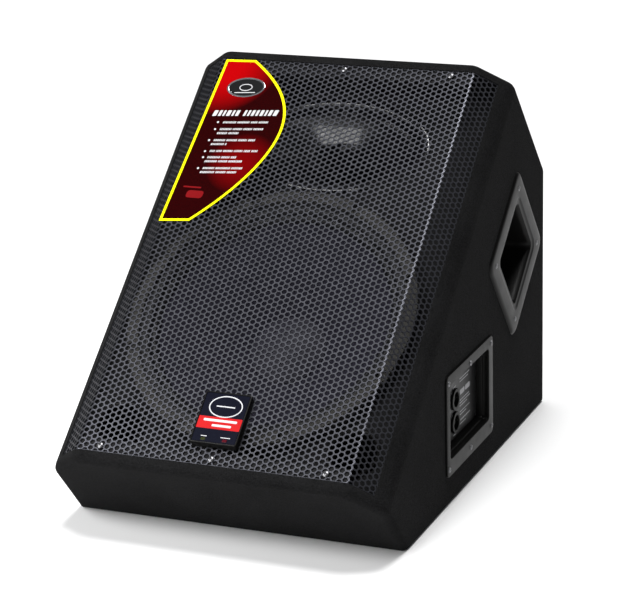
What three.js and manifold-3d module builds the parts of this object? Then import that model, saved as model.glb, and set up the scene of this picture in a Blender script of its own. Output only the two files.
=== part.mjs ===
// Stage monitor wedge: a carpeted plywood cabinet with a folded steel grille over a 15-inch woofer,
// an elliptical horn with its compression driver, a crossover, an input dish and two pocket handles.
//
// Millimetres. +Z is up, +X is the right-hand side seen from the front, and the front faces -Y.
// The origin is the middle of the footprint, on the floor.

import * as THREE from 'three';
import { mergeVertices } from 'three/addons/utils/BufferGeometryUtils.js';
import Module from 'manifold-3d';

const wasm = await Module();
wasm.setup();

// ---------------------------------------------------------------- driving dimensions

const WIDTH = 455;
const FACE_ANGLE = 39.6; // slope of the grille above the floor, degrees
const FACE_LENGTH = 661; // nose edge to top edge, up the slope
const KICK_HEIGHT = 139.5; // nose edge to the floor, along the kick board
const KICK_LEAN = 1.1; // the kick board leans out from square to the face, degrees
const FLOOR_DEPTH = 577.5;
const REAR_HEIGHT = 352;
const CHAMFER_WIDTH = 44; // the front corners are cut away: this much across
const CHAMFER_DEPTH = 38; // and this much deep

const BOARD = 14.5;
const CARPET = 1.2;
const GAP = 0.3; // clearance between touching pieces

const GRILLE_INSET = 1;
const GRILLE_SHEET = 1.5;
const GRILLE_RETURN = 12;
const CLEAT_WIDTH = 20;
const CLEAT_THICK = 19;
const SCREW_SPREAD = 152; // grille screws left and right of the middle one
const SCREW_LOW = 24.8;
const SCREW_HIGH = 636.5;

const BAFFLE_DEPTH = 47; // face of the grille line to the front of the baffle
const PORT_ACROSS = 159.5;
const PORT_UP = 81;
const PORT_BORE = 29;
const PORT_LENGTH = 62;

const WOOFER_UP = 257;
const WOOFER_RADIUS = 195;
const WOOFER_CUTOUT = 176;
const CONE_RADIUS = 155;
const COIL_RADIUS = 38;
const DUST_CAP_RADIUS = 52;
const WOOFER_BOLTS = 8;
const WOOFER_BOLT_RADIUS = 186.5;

const HORN_UP = 543.5;
const HORN_HALF_WIDTH = 136.5;
const HORN_HALF_HEIGHT = 78.5;
const HORN_THROAT = 12.7;

const BADGE_WIDTH = 63;
const BADGE_HEIGHT = 74;
const BADGE_PROUD = 10;
const BADGE_UP = 78;

const HANDLE_BACK = 441.5; // handle centre behind the floor's front edge
const HANDLE_HIGH = 259.5;
const HANDLE_TURN = 39.4; // the handle sits square to the grille, degrees
const HANDLE_SIZE = 168;
const HANDLE_MOUTH = 100;
const HANDLE_POCKET = 56;
const HANDLE_PROUD = 4.5;

const DISH_BACK = 240; // centre of the dish's recess behind the floor's front edge
const DISH_HIGH = 113;
const DISH_WIDTH = 150;
const DISH_HEIGHT = 93;
const DISH_RECESS = 16;
const DISH_RIM = 18.5;
const DISH_WALL = 2.5;
const SOCKET_RADIUS = 12;

const ROUND = 36; // sides of a round piece
const COARSE = 24; // and of one that sits inside the cabinet

// ---------------------------------------------------------------- finishes

const finish = (color, roughness, metalness = 0) => ({ color, roughness, metalness });
const CARPET_FINISH = finish(0x2c2c2d, 0.96);
const PAINTED_PLYWOOD = finish(0x171615, 0.85);
const GRILLE_STEEL = finish(0x3e4047, 0.45, 0.6);
const SCREW_STEEL = finish(0x55565a, 0.35, 0.9);
const PLASTIC = finish(0x1d1d1e, 0.5);
const GLOSS_PLASTIC = finish(0x131419, 0.2);
const CARD_RED = finish(0xc01018, 0.35);
const CAST_ALLOY = finish(0x3a3b3d, 0.6, 0.5);
const GASKET_FOAM = finish(0x56575a, 0.9);
const DOPED_CLOTH = finish(0x141416, 0.7);
const PAPER_CONE = finish(0x2b2b31, 0.85);
const PLATED_STEEL = finish(0x8d9094, 0.4, 0.9);
const FERRITE = finish(0x2a2a2c, 0.8);
const TITANIUM = finish(0x8e8f94, 0.3, 0.9);
const BOARD_GREEN = finish(0x1d4a2c, 0.5);
const COPPER = finish(0xa25a2a, 0.35, 0.8);
const WADDING = finish(0xb9b7b0, 1.0);

// ---------------------------------------------------------------- solids and booleans

function toSolid(geometry) {
  const bare = geometry.index ? geometry.toNonIndexed() : geometry.clone();
  for (const name of Object.keys(bare.attributes)) {
    if (name !== 'position') bare.deleteAttribute(name);
  }
  const merged = mergeVertices(bare, 1e-4);
  return new wasm.Manifold(new wasm.Mesh({
    numProp: 3,
    vertProperties: Float32Array.from(merged.attributes.position.array),
    triVerts: Uint32Array.from(merged.index.array),
  }));
}

function toGeometry(solid) {
  const mesh = solid.getMesh();
  const geometry = new THREE.BufferGeometry();
  geometry.setAttribute('position', new THREE.BufferAttribute(Float32Array.from(mesh.vertProperties), 3));
  geometry.setIndex(Array.from(mesh.triVerts));
  geometry.computeVertexNormals();
  return geometry;
}

const join = (...pieces) => toGeometry(pieces.map(toSolid).reduce((sum, solid) => sum.add(solid)));
const cut = (piece, ...tools) => toGeometry(
  tools.map(toSolid).reduce((rest, tool) => rest.subtract(tool), toSolid(piece)));
const keep = (piece, ...regions) => toGeometry(
  regions.map(toSolid).reduce((rest, region) => rest.intersect(region), toSolid(piece)));
const moved = (geometry, x, y, z) => geometry.clone().translate(x, y, z);
const placed = (geometry, matrix) => geometry.clone().applyMatrix4(matrix);

// ---------------------------------------------------------------- flat outlines

// Where two lines meet, each given by a point and a direction and moved to its left by an inset.
function meet(first, firstInset, second, secondInset) {
  const [p, d] = first;
  const [q, e] = second;
  const px = p[0] - d[1] * firstInset;
  const py = p[1] + d[0] * firstInset;
  const qx = q[0] - e[1] * secondInset;
  const qy = q[1] + e[0] * secondInset;
  const t = ((qx - px) * e[1] - (qy - py) * e[0]) / (d[0] * e[1] - d[1] * e[0]);
  return [px + t * d[0], py + t * d[1]];
}

function line(from, to) {
  const length = Math.hypot(to[0] - from[0], to[1] - from[1]);
  return [from, [(to[0] - from[0]) / length, (to[1] - from[1]) / length]];
}

// An anticlockwise convex outline drawn in by an inset.
function inset(points, amount) {
  const sides = points.map((point, i) => line(point, points[(i + 1) % points.length]));
  return sides.map((side, i) => meet(sides[(i + sides.length - 1) % sides.length], amount, side, amount));
}

const shapeOf = (points) => new THREE.Shape(points.map(([x, y]) => new THREE.Vector2(x, y)));

function extruded(shape, depth, curveSegments = 8) {
  return new THREE.ExtrudeGeometry(shape, { depth, bevelEnabled: false, curveSegments });
}

function slab(points, low, high) {
  return moved(extruded(shapeOf(points), high - low), 0, 0, low);
}

// A (y, z) outline carried along X.
function alongX(points, low, high) {
  const turn = new THREE.Matrix4().makeBasis(
    new THREE.Vector3(0, 1, 0), new THREE.Vector3(0, 0, 1), new THREE.Vector3(1, 0, 0));
  return placed(slab(points, low, high), turn);
}

// An (x, z) outline carried along Y.
function alongY(points, low, high) {
  const turn = new THREE.Matrix4().makeBasis(
    new THREE.Vector3(1, 0, 0), new THREE.Vector3(0, 0, 1), new THREE.Vector3(0, -1, 0));
  return placed(slab(points, -high, -low), turn);
}

function box(x0, x1, y0, y1, z0, z1) {
  const block = new THREE.BoxGeometry(x1 - x0, y1 - y0, z1 - z0);
  return moved(block, (x0 + x1) / 2, (y0 + y1) / 2, (z0 + z1) / 2);
}

function roundedRectangle(width, height, radius) {
  const x = width / 2;
  const y = height / 2;
  const shape = new THREE.Shape();
  shape.moveTo(-x + radius, -y);
  shape.lineTo(x - radius, -y);
  shape.absarc(x - radius, -y + radius, radius, -Math.PI / 2, 0);
  shape.lineTo(x, y - radius);
  shape.absarc(x - radius, y - radius, radius, 0, Math.PI / 2);
  shape.lineTo(-x + radius, y);
  shape.absarc(-x + radius, y - radius, radius, Math.PI / 2, Math.PI);
  shape.lineTo(-x, -y + radius);
  shape.absarc(-x + radius, -y + radius, radius, Math.PI, Math.PI * 1.5);
  return shape;
}

function roundedSlab(width, height, radius, low, high) {
  return moved(extruded(roundedRectangle(width, height, radius), high - low, 4), 0, 0, low);
}

// ---------------------------------------------------------------- turned and lofted pieces

const outlineOf = (profile) => profile.map(([r, z]) => new THREE.Vector2(r, z));

// A closed (radius, height) profile turned about Z, whichever way round it is listed.
function turned(profile, sides = ROUND) {
  const points = outlineOf(profile);
  if (THREE.ShapeUtils.isClockWise(points)) points.reverse();
  return new THREE.LatheGeometry([...points, points[0]], sides).rotateX(Math.PI / 2);
}

const disc = (radius, low, high, sides = ROUND) =>
  turned([[0, low], [radius, low], [radius, high], [0, high]], sides);

const ring = (inner, outer, low, high, sides = ROUND) =>
  turned([[inner, low], [outer, low], [outer, high], [inner, high]], sides);

// A sheet of even thickness that follows a (radius, height) line about Z.
function turnedSheet(lineOut, thickness, sides = ROUND) {
  const back = lineOut.map(([r, z]) => [r, z - thickness]).reverse();
  return turned([...lineOut, ...back], sides);
}

// Rings of points joined in order, with a fan over each end, or end to start where it is a tube.
function loft(rings, tube) {
  const count = rings[0].length;
  const positions = rings.flat(2);
  const faces = [];
  const steps = tube ? rings.length : rings.length - 1;
  for (let i = 0; i < steps; i += 1) {
    const low = i * count;
    const high = ((i + 1) % rings.length) * count;
    for (let j = 0; j < count; j += 1) {
      const k = (j + 1) % count;
      faces.push(low + j, low + k, high + k, low + j, high + k, high + j);
    }
  }
  if (!tube) {
    const last = (rings.length - 1) * count;
    for (let j = 1; j < count - 1; j += 1) {
      faces.push(0, j + 1, j);
      faces.push(last, last + j, last + j + 1);
    }
  }
  const geometry = new THREE.BufferGeometry();
  geometry.setAttribute('position', new THREE.BufferAttribute(Float32Array.from(positions), 3));
  geometry.setIndex(faces);
  geometry.computeVertexNormals();
  return geometry;
}

function ellipseRing(halfWidth, halfHeight, z, count = ROUND) {
  return Array.from({ length: count }, (_, i) => {
    const angle = (i / count) * Math.PI * 2;
    return [halfWidth * Math.cos(angle), halfHeight * Math.sin(angle), z];
  });
}

function squareRing(half, radius, z, cornerSteps = 4) {
  const points = [];
  for (let corner = 0; corner < 4; corner += 1) {
    const middle = Math.PI / 4 + (corner * Math.PI) / 2;
    const cx = Math.sign(Math.cos(middle)) * (half - radius);
    const cy = Math.sign(Math.sin(middle)) * (half - radius);
    for (let step = 0; step <= cornerSteps; step += 1) {
      const angle = middle - Math.PI / 4 + (step / cornerSteps) * (Math.PI / 2);
      points.push([cx + radius * Math.cos(angle), cy + radius * Math.sin(angle), z]);
    }
  }
  return points;
}

function lead(points, radius) {
  const route = new THREE.CatmullRomCurve3(points.map((point) => new THREE.Vector3(...point)));
  const section = new THREE.Shape();
  section.absarc(0, 0, radius, 0, Math.PI * 2);
  const options = { extrudePath: route, steps: 20, curveSegments: 3, bevelEnabled: false };
  return new THREE.ExtrudeGeometry(section, options);
}

// ---------------------------------------------------------------- cabinet outline

const radians = (degrees) => (degrees * Math.PI) / 180;
const up = [Math.cos(radians(FACE_ANGLE)), Math.sin(radians(FACE_ANGLE))];
const kickAngle = radians(FACE_ANGLE + 90 + KICK_LEAN);
const noseReach = -KICK_HEIGHT * Math.cos(kickAngle);
const FRONT = -(FLOOR_DEPTH + noseReach) / 2; // the nose edge
const FLOOR_FRONT = FRONT + noseReach;
const FLOOR_REAR = FLOOR_FRONT + FLOOR_DEPTH;
const NOSE = [FRONT, KICK_HEIGHT * Math.sin(kickAngle)];
const TOP_EDGE = [NOSE[0] + FACE_LENGTH * up[0], NOSE[1] + FACE_LENGTH * up[1]];

const OUTLINE = [[FLOOR_FRONT, 0], [FLOOR_REAR, 0], [FLOOR_REAR, REAR_HEIGHT], TOP_EDGE, NOSE];
const [FLOOR, REAR, TOP, FACE, KICK] = OUTLINE.map(
  (point, i) => line(point, OUTLINE[(i + 1) % OUTLINE.length]));

const HALF = WIDTH / 2;
const SKIN = CARPET + GAP; // outside to the face of a board
const WALL = SKIN + BOARD; // outside to the inner face of a board
const INNER = HALF - WALL; // inner face of a side board

// The face frame: X across, Y up the slope from the nose edge, Z out of the grille.
const FACE_FRAME = new THREE.Matrix4().makeRotationX(radians(FACE_ANGLE)).setPosition(0, NOSE[0], NOSE[1]);

const DEEP = 900;
const PLAN = [[-HALF, -DEEP], [HALF, -DEEP], [HALF, -CHAMFER_DEPTH], [HALF - CHAMFER_WIDTH, 0],
  [-HALF + CHAMFER_WIDTH, 0], [-HALF, -CHAMFER_DEPTH]];

// The space inside the cut-away front corners, drawn in by an inset.
const chamfered = (amount) => placed(alongY(inset(PLAN, amount), -400, FACE_LENGTH + 400), FACE_FRAME);

const body = (amount) => keep(
  alongX(inset(OUTLINE, amount), -HALF + amount, HALF - amount), chamfered(amount));

// ---------------------------------------------------------------- collecting the parts

const monitor = new THREE.Group();
const face = new THREE.Group();
face.applyMatrix4(FACE_FRAME);
monitor.add(face);

// Frames on the outside of each side board: X towards the rear on the right, Z outwards.
const sides = {};
for (const [name, sign] of [['right', 1], ['left', -1]]) {
  const group = new THREE.Group();
  group.applyMatrix4(new THREE.Matrix4().makeBasis(
    new THREE.Vector3(0, sign, 0), new THREE.Vector3(0, 0, 1), new THREE.Vector3(sign, 0, 0),
  ).setPosition(sign * HALF, FLOOR_FRONT, 0));
  monitor.add(group);
  sides[name] = { group, sign };
}

function add(parent, name, geometry, { color, roughness, metalness }) {
  const mesh = new THREE.Mesh(geometry, new THREE.MeshStandardMaterial({ color, roughness, metalness }));
  mesh.name = name;
  parent.add(mesh);
  return mesh;
}

// ---------------------------------------------------------------- boards

// A handle's square opening and the dish's opening, as tools that pass through a side.
function handleTool(sign) {
  const size = HANDLE_MOUTH + 14;
  const tool = roundedSlab(size, size, 16, -40, 20).rotateZ(radians(sign * HANDLE_TURN));
  return placed(moved(tool, sign * HANDLE_BACK, HANDLE_HIGH, 0), sideMatrix(sign));
}

function dishTool() {
  const clearance = 2 * (DISH_WALL + 1);
  const tool = roundedSlab(DISH_WIDTH + clearance, DISH_HEIGHT + clearance, 6, -40, 20);
  return placed(moved(tool, DISH_BACK, DISH_HIGH, 0), sideMatrix(1));
}

function sideMatrix(sign) {
  return sides[sign > 0 ? 'right' : 'left'].group.matrix;
}

function buildBoards() {
  const boardBody = body(SKIN);
  for (const [name, { sign }] of Object.entries(sides)) {
    const span = sign > 0 ? [INNER, HALF] : [-HALF, -INNER];
    const tools = sign > 0 ? [handleTool(sign), dishTool()] : [handleTool(sign)];
    const half = box(span[0], span[1], -DEEP, DEEP, -DEEP, DEEP);
    add(monitor, `side_panel_${name}`, cut(keep(boardBody, half), ...tools), PAINTED_PLYWOOD);
  }
  const reach = INNER - GAP;
  const between = (points) => keep(alongX(points, -reach, reach), chamfered(SKIN));
  const butt = WALL + GAP;
  add(monitor, 'floor_panel', between([meet(FLOOR, SKIN, KICK, SKIN), meet(FLOOR, SKIN, REAR, SKIN),
    meet(FLOOR, WALL, REAR, SKIN), meet(FLOOR, WALL, KICK, SKIN)]), PAINTED_PLYWOOD);
  add(monitor, 'rear_panel', between([meet(REAR, SKIN, FLOOR, butt), meet(REAR, SKIN, TOP, butt),
    meet(REAR, WALL, TOP, butt), meet(REAR, WALL, FLOOR, butt)]), PAINTED_PLYWOOD);
  add(monitor, 'top_panel', between([meet(TOP, SKIN, REAR, SKIN), meet(TOP, SKIN, FACE, SKIN),
    meet(TOP, WALL, FACE, SKIN), meet(TOP, WALL, REAR, SKIN)]), PAINTED_PLYWOOD);
  add(monitor, 'kick_panel', between([meet(KICK, SKIN, FACE, SKIN), meet(KICK, SKIN, FLOOR, butt),
    meet(KICK, WALL, FLOOR, butt), meet(KICK, WALL, FACE, SKIN)]), PAINTED_PLYWOOD);
  buildBaffle(reach);
}

function buildBaffle(reach) {
  const butt = WALL + GAP;
  const back = BAFFLE_DEPTH + BOARD;
  const board = alongX([meet(FACE, BAFFLE_DEPTH, TOP, butt), meet(FACE, BAFFLE_DEPTH, KICK, butt),
    meet(FACE, back, KICK, butt), meet(FACE, back, TOP, butt)], -reach, reach);
  const through = (tool) => placed(tool, FACE_FRAME);
  const hornHole = loft([ellipseRing(129, 71, -90), ellipseRing(129, 71, -20)], false);
  const portHole = disc(PORT_BORE + 3, -90, -20, COARSE);
  const tools = [
    through(moved(disc(WOOFER_CUTOUT + 1.5, -90, -20), 0, WOOFER_UP, 0)),
    through(moved(hornHole, 0, HORN_UP, 0)),
    through(moved(portHole, -PORT_ACROSS, PORT_UP, 0)),
    through(moved(portHole, PORT_ACROSS, PORT_UP, 0)),
  ];
  add(monitor, 'baffle', cut(board, ...tools), PAINTED_PLYWOOD);
}

// ---------------------------------------------------------------- carpet

function buildCarpet() {
  const shell = cut(body(0), body(CARPET));
  const opening = alongX([meet(FACE, -20, KICK, WALL), meet(FACE, 80, KICK, WALL),
    meet(FACE, 80, TOP, WALL), meet(FACE, -20, TOP, WALL)], -INNER, INNER);
  const covering = cut(shell, opening);
  const seam = INNER + GAP;
  for (const [name, { sign }] of Object.entries(sides)) {
    const span = sign > 0 ? [seam, HALF + 5] : [-HALF - 5, -seam];
    const tools = sign > 0 ? [handleTool(sign), dishTool()] : [handleTool(sign)];
    const half = box(span[0], span[1], -DEEP, DEEP, SKIN, DEEP);
    add(monitor, `carpet_${name}`, cut(keep(covering, half), ...tools), CARPET_FINISH);
  }
  // The strip round the cabinet is seamed at its corners into lengths; the floor length passes
  // under the sides as well.
  const strip = keep(covering, box(-INNER, INNER, -DEEP, DEEP, -DEEP, DEEP));
  const heart = [FLOOR_FRONT + 200, 150];
  const beyond = (point) => [
    heart[0] + (point[0] - heart[0]) * 1.3,
    heart[1] + (point[1] - heart[1]) * 1.3,
  ];
  const between = (...corners) =>
    alongX(inset([heart, ...corners.map(beyond)], GAP / 2), -HALF, HALF);
  const [frontCorner, rearCorner, rearTop] = OUTLINE;
  const middleOfFace = [(NOSE[0] + TOP_EDGE[0]) / 2, (NOSE[1] + TOP_EDGE[1]) / 2];
  const lengths = {
    carpet_floor: keep(
      covering, between(frontCorner, rearCorner), box(-HALF, HALF, -DEEP, DEEP, -5, CARPET)),
    carpet_rear: keep(strip, between(rearCorner, rearTop)),
    carpet_top: keep(strip, between(rearTop, TOP_EDGE, middleOfFace)),
    carpet_kick: keep(strip, between(middleOfFace, NOSE, frontCorner)),
  };
  for (const [name, length] of Object.entries(lengths)) add(monitor, name, length, CARPET_FINISH);
}

// ---------------------------------------------------------------- grille, badge and card

function grilleScrewPlaces() {
  return [SCREW_LOW, SCREW_HIGH].flatMap(
    (height) => [-1, 0, 1].map((side) => [side * SCREW_SPREAD, height]));
}

function buildGrille() {
  const low = WALL + 0.8;
  const high = FACE_LENGTH - WALL - 0.8;
  const reach = INNER - GAP;
  const skin = cut(alongY(inset(PLAN, GRILLE_INSET), low, high),
    alongY(inset(PLAN, GRILLE_INSET + GRILLE_SHEET), low - 5, high + 5));
  const sheet = keep(skin, box(-reach, reach, -50, DEEP, -60, 10));
  const wingDepth = CHAMFER_DEPTH * (1 - WALL / CHAMFER_WIDTH);
  const returns = [-1, 1].map((sign) => {
    const inner = sign * (reach - GRILLE_SHEET);
    const outer = sign * reach;
    return box(Math.min(inner, outer), Math.max(inner, outer), low, high,
      -wingDepth - GRILLE_RETURN, -wingDepth - GRILLE_INSET - 1.2);
  });
  const holes = grilleScrewPlaces().map(([x, y]) => moved(disc(2.3, -30, 5, 10), x, y, 0));
  add(face, 'grille', cut(join(sheet, ...returns), ...holes, badgeStem(0.4)), GRILLE_STEEL);

  const screw = turned([[0, -16], [1.8, -16], [1.8, -0.7], [4.4, -0.7], [4.4, 0.4], [3.2, 1.2],
    [0, 1.4]], 10);
  grilleScrewPlaces().forEach(([x, y], i) => {
    add(face, `grille_screw_${i + 1}`, moved(screw, x, y, 0), SCREW_STEEL);
  });

  const halfCleat = HALF - CHAMFER_WIDTH - 3;
  const front = GRILLE_INSET + GRILLE_SHEET + GAP;
  const butt = WALL + GAP;
  const back = front + CLEAT_THICK;
  const cleat = (edge) => {
    const corners = [meet(FACE, front, edge, butt), meet(FACE, front, edge, butt + CLEAT_WIDTH),
      meet(FACE, back, edge, butt + CLEAT_WIDTH), meet(FACE, back, edge, butt)];
    const ordered = edge === KICK ? corners.slice().reverse() : corners;
    return placed(alongX(ordered, -halfCleat, halfCleat), FACE_FRAME.clone().invert());
  };
  add(face, 'grille_cleat_lower', cut(cleat(KICK), ...holes), PAINTED_PLYWOOD);
  add(face, 'grille_cleat_upper', cut(cleat(TOP), ...holes), PAINTED_PLYWOOD);
}

// The hollow post behind the badge that passes through the grille.
function badgeStem(clearance) {
  return moved(disc(6 + clearance, -12, 2, 24), 0, BADGE_UP, 0);
}

function buildBadge() {
  const seat = -GRILLE_INSET + GAP;
  const bezel = roundedSlab(BADGE_WIDTH, BADGE_HEIGHT, 3, seat, BADGE_PROUD);
  const shell = join(bezel, disc(6, -9, seat + 1, 24));
  const recess = roundedSlab(BADGE_WIDTH - 4, BADGE_HEIGHT - 4, 2, 3.5, BADGE_PROUD + 1);
  const cableWay = disc(3.5, -12, 6, 16);
  const housing = cut(shell, recess, cableWay);
  add(face, 'badge_housing', moved(housing, 0, BADGE_UP, 0), PLASTIC);

  const windowSide = 14.5;
  const windowDown = -BADGE_HEIGHT / 2 + 9;
  const windows = [-1, 1].map(
    (sign) => moved(roundedSlab(6.6, 4.2, 0.8, 0, 20), sign * windowSide, windowDown, 0));
  const front = roundedSlab(BADGE_WIDTH - 4.6, BADGE_HEIGHT - 4.6, 1.8, 7.8, BADGE_PROUD - 0.4);
  add(face, 'badge_face', moved(cut(front, ...windows), 0, BADGE_UP, 0), GLOSS_PLASTIC);
  const lights = [
    ['badge_light_left', -1, finish(0x4b5a2a, 0.25)],
    ['badge_light_right', 1, finish(0x6b1420, 0.25)],
  ];
  for (const [name, sign, look] of lights) {
    const lens = roundedSlab(6, 3.6, 0.6, 5.5, BADGE_PROUD - 0.7);
    add(face, name, moved(lens, sign * windowSide, BADGE_UP + windowDown, 0), look);
  }
}

function buildCard() {
  const outline = new THREE.Shape();
  outline.moveTo(-187, 367);
  outline.lineTo(-144, 371);
  outline.bezierCurveTo(-104, 412, -58, 475, -58.5, 532);
  outline.bezierCurveTo(-59, 580, -92, 614, -132, 643.5);
  outline.lineTo(-176, 642);
  outline.closePath();
  const seat = -GRILLE_INSET + GAP;
  const head = moved(disc(5, -2, 3, 16), -SCREW_SPREAD, SCREW_HIGH, 0);
  add(face, 'feature_card', cut(moved(extruded(outline, 0.4, 14), 0, 0, seat), head), CARD_RED);
}

// ---------------------------------------------------------------- ports

function buildPorts() {
  const seat = -BAFFLE_DEPTH + GAP;
  const wall = 2.2;
  const flange = PORT_BORE + wall + 4;
  const inner = -BAFFLE_DEPTH - PORT_LENGTH;
  const tube = turned([[PORT_BORE, inner], [PORT_BORE + wall, inner], [PORT_BORE + wall, seat],
    [flange, seat], [flange, seat + 1.2], [PORT_BORE + 2.5, seat + 2.6], [PORT_BORE, seat + 1]], COARSE);
  add(face, 'port_tube_left', moved(tube, -PORT_ACROSS, PORT_UP, 0), PLASTIC);
  add(face, 'port_tube_right', moved(tube, PORT_ACROSS, PORT_UP, 0), PLASTIC);
}

// ---------------------------------------------------------------- woofer

const CONE_EDGE = -46;
const CONE_NECK = -125;
const FLANGE_TOP = -34.5;
const SPIDER_HEIGHT = -133;
const PLATE_TOP = -149.8;

// Height of the cone's front surface at a radius: nearly straight, a little deeper in the middle.
function coneHeight(radius) {
  const inward = (CONE_RADIUS - radius) / (CONE_RADIUS - COIL_RADIUS);
  return CONE_EDGE + (CONE_NECK - CONE_EDGE) * (0.86 * inward + 0.14 * inward * inward);
}

function steps(from, to, count) {
  return Array.from({ length: count + 1 }, (_, i) => from + ((to - from) * i) / count);
}

const BOLT_ANGLES = steps(0.5, WOOFER_BOLTS - 0.5, WOOFER_BOLTS - 1).map(
  (place) => (place * 2 * Math.PI) / WOOFER_BOLTS);

const atBolts = (tool, radius) => BOLT_ANGLES.map(
  (angle) => moved(tool, radius * Math.cos(angle), radius * Math.sin(angle), 0));

const boltHoles = () => atBolts(disc(3.2, -80, 0, 12), WOOFER_BOLT_RADIUS);

function buildBasket() {
  const seat = -BAFFLE_DEPTH + GAP;
  const rim = turned([[168, -62], [172, -62], [WOOFER_CUTOUT - 1, seat - 2], [WOOFER_CUTOUT - 1, seat],
    [WOOFER_RADIUS, seat], [WOOFER_RADIUS, FLANGE_TOP - 2.5], [WOOFER_RADIUS - 2, FLANGE_TOP],
    [172.5, FLANGE_TOP], [172.5, FLANGE_TOP - 6], [168, -48]]);
  const base = turned([[43, PLATE_TOP + GAP], [97, PLATE_TOP + GAP], [97, SPIDER_HEIGHT - 1.2],
    [86, SPIDER_HEIGHT - 1.2], [86, PLATE_TOP + 6], [43, PLATE_TOP + 6]]);
  // An arm's outline is (outward, height).
  const arm = alongX([[171, -52], [171, -62], [100, PLATE_TOP + GAP], [88, PLATE_TOP + GAP], [88, -143],
    [98, -136]], -8, 8);
  const arms = BOLT_ANGLES.map((angle) => arm.clone().rotateZ(angle));
  return cut(join(rim, base, ...arms), ...boltHoles());
}

function buildGasket() {
  const low = FLANGE_TOP + 1.4;
  const washer = ring(179, WOOFER_RADIUS - 0.5, low, low + 1.2);
  const pads = ring(179, WOOFER_RADIUS - 0.5, low, -27);
  const notches = atBolts(disc(8.5, low - 1, 0, 16), WOOFER_BOLT_RADIUS + 1);
  return cut(join(washer, cut(pads, ...notches)), ...boltHoles());
}

function buildSurround() {
  const inner = CONE_RADIUS + 0.4;
  const outer = 171.5;
  const roll = steps(inner, outer, 8).map((radius) => {
    const part = (radius - inner) / (outer - inner);
    const wave = 3.2 * Math.abs(Math.sin(part * Math.PI * 2));
    return [radius, CONE_EDGE + 0.6 + part * (FLANGE_TOP + 1.1 - CONE_EDGE - 0.6) + wave];
  });
  return turnedSheet([...roll, [184, FLANGE_TOP + 1.1]], 0.8);
}

function buildWoofer() {
  const woofer = new THREE.Group();
  woofer.position.set(0, WOOFER_UP, 0);
  face.add(woofer);

  add(woofer, 'woofer_basket', buildBasket(), CAST_ALLOY);
  add(woofer, 'woofer_gasket', buildGasket(), GASKET_FOAM);
  add(woofer, 'woofer_surround', buildSurround(), DOPED_CLOTH);

  const coneLine = steps(COIL_RADIUS + 0.4, CONE_RADIUS, 7).map(
    (radius) => [radius, coneHeight(radius)]);
  add(woofer, 'woofer_cone', turnedSheet(coneLine, 1.6), PAPER_CONE);

  const capBase = coneHeight(DUST_CAP_RADIUS - 0.8) + 0.6;
  const capLine = steps(0, DUST_CAP_RADIUS - 0.8, 5).map((radius) => {
    const out = radius / (DUST_CAP_RADIUS - 0.8);
    return [radius, capBase + 1 + 18 * (1 - out * out)];
  });
  add(woofer, 'woofer_dust_cap', turnedSheet(capLine, 1, 32), PAPER_CONE);

  const coil = turned([[COIL_RADIUS - 1.4, -166], [COIL_RADIUS + 1.2, -166], [COIL_RADIUS + 1.2, -148],
    [COIL_RADIUS - 0.2, -148], [COIL_RADIUS - 0.2, -119.5], [COIL_RADIUS - 1.4, -119.5]], COARSE);
  add(woofer, 'voice_coil', coil, COPPER);

  const spiderLine = steps(COIL_RADIUS + 0.4, 96, 10).map((radius, i) => {
    const ripple = i % 2 === 0 || radius > 86 ? 0 : 2.2;
    return [radius, SPIDER_HEIGHT + ripple];
  });
  add(woofer, 'woofer_spider', turnedSheet(spiderLine, 0.6, COARSE), DOPED_CLOTH);

  const magnetTop = PLATE_TOP - 8 - GAP;
  const magnetLow = magnetTop - 20;
  const topPlate = ring(COIL_RADIUS + 2.2, 80, PLATE_TOP - 8, PLATE_TOP, COARSE);
  add(woofer, 'woofer_top_plate', topPlate, PLATED_STEEL);
  add(woofer, 'woofer_magnet', ring(48, 88, magnetLow, magnetTop, COARSE), FERRITE);
  const pole = turned([[9, magnetLow - 9], [80, magnetLow - 9], [82, magnetLow - 7], [82, magnetLow - GAP],
    [COIL_RADIUS - 2.4, magnetLow - GAP], [COIL_RADIUS - 2.4, PLATE_TOP + 1], [9, PLATE_TOP + 1]], COARSE);
  add(woofer, 'woofer_pole_piece', pole, PLATED_STEEL);
}

// ---------------------------------------------------------------- horn and compression driver

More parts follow.
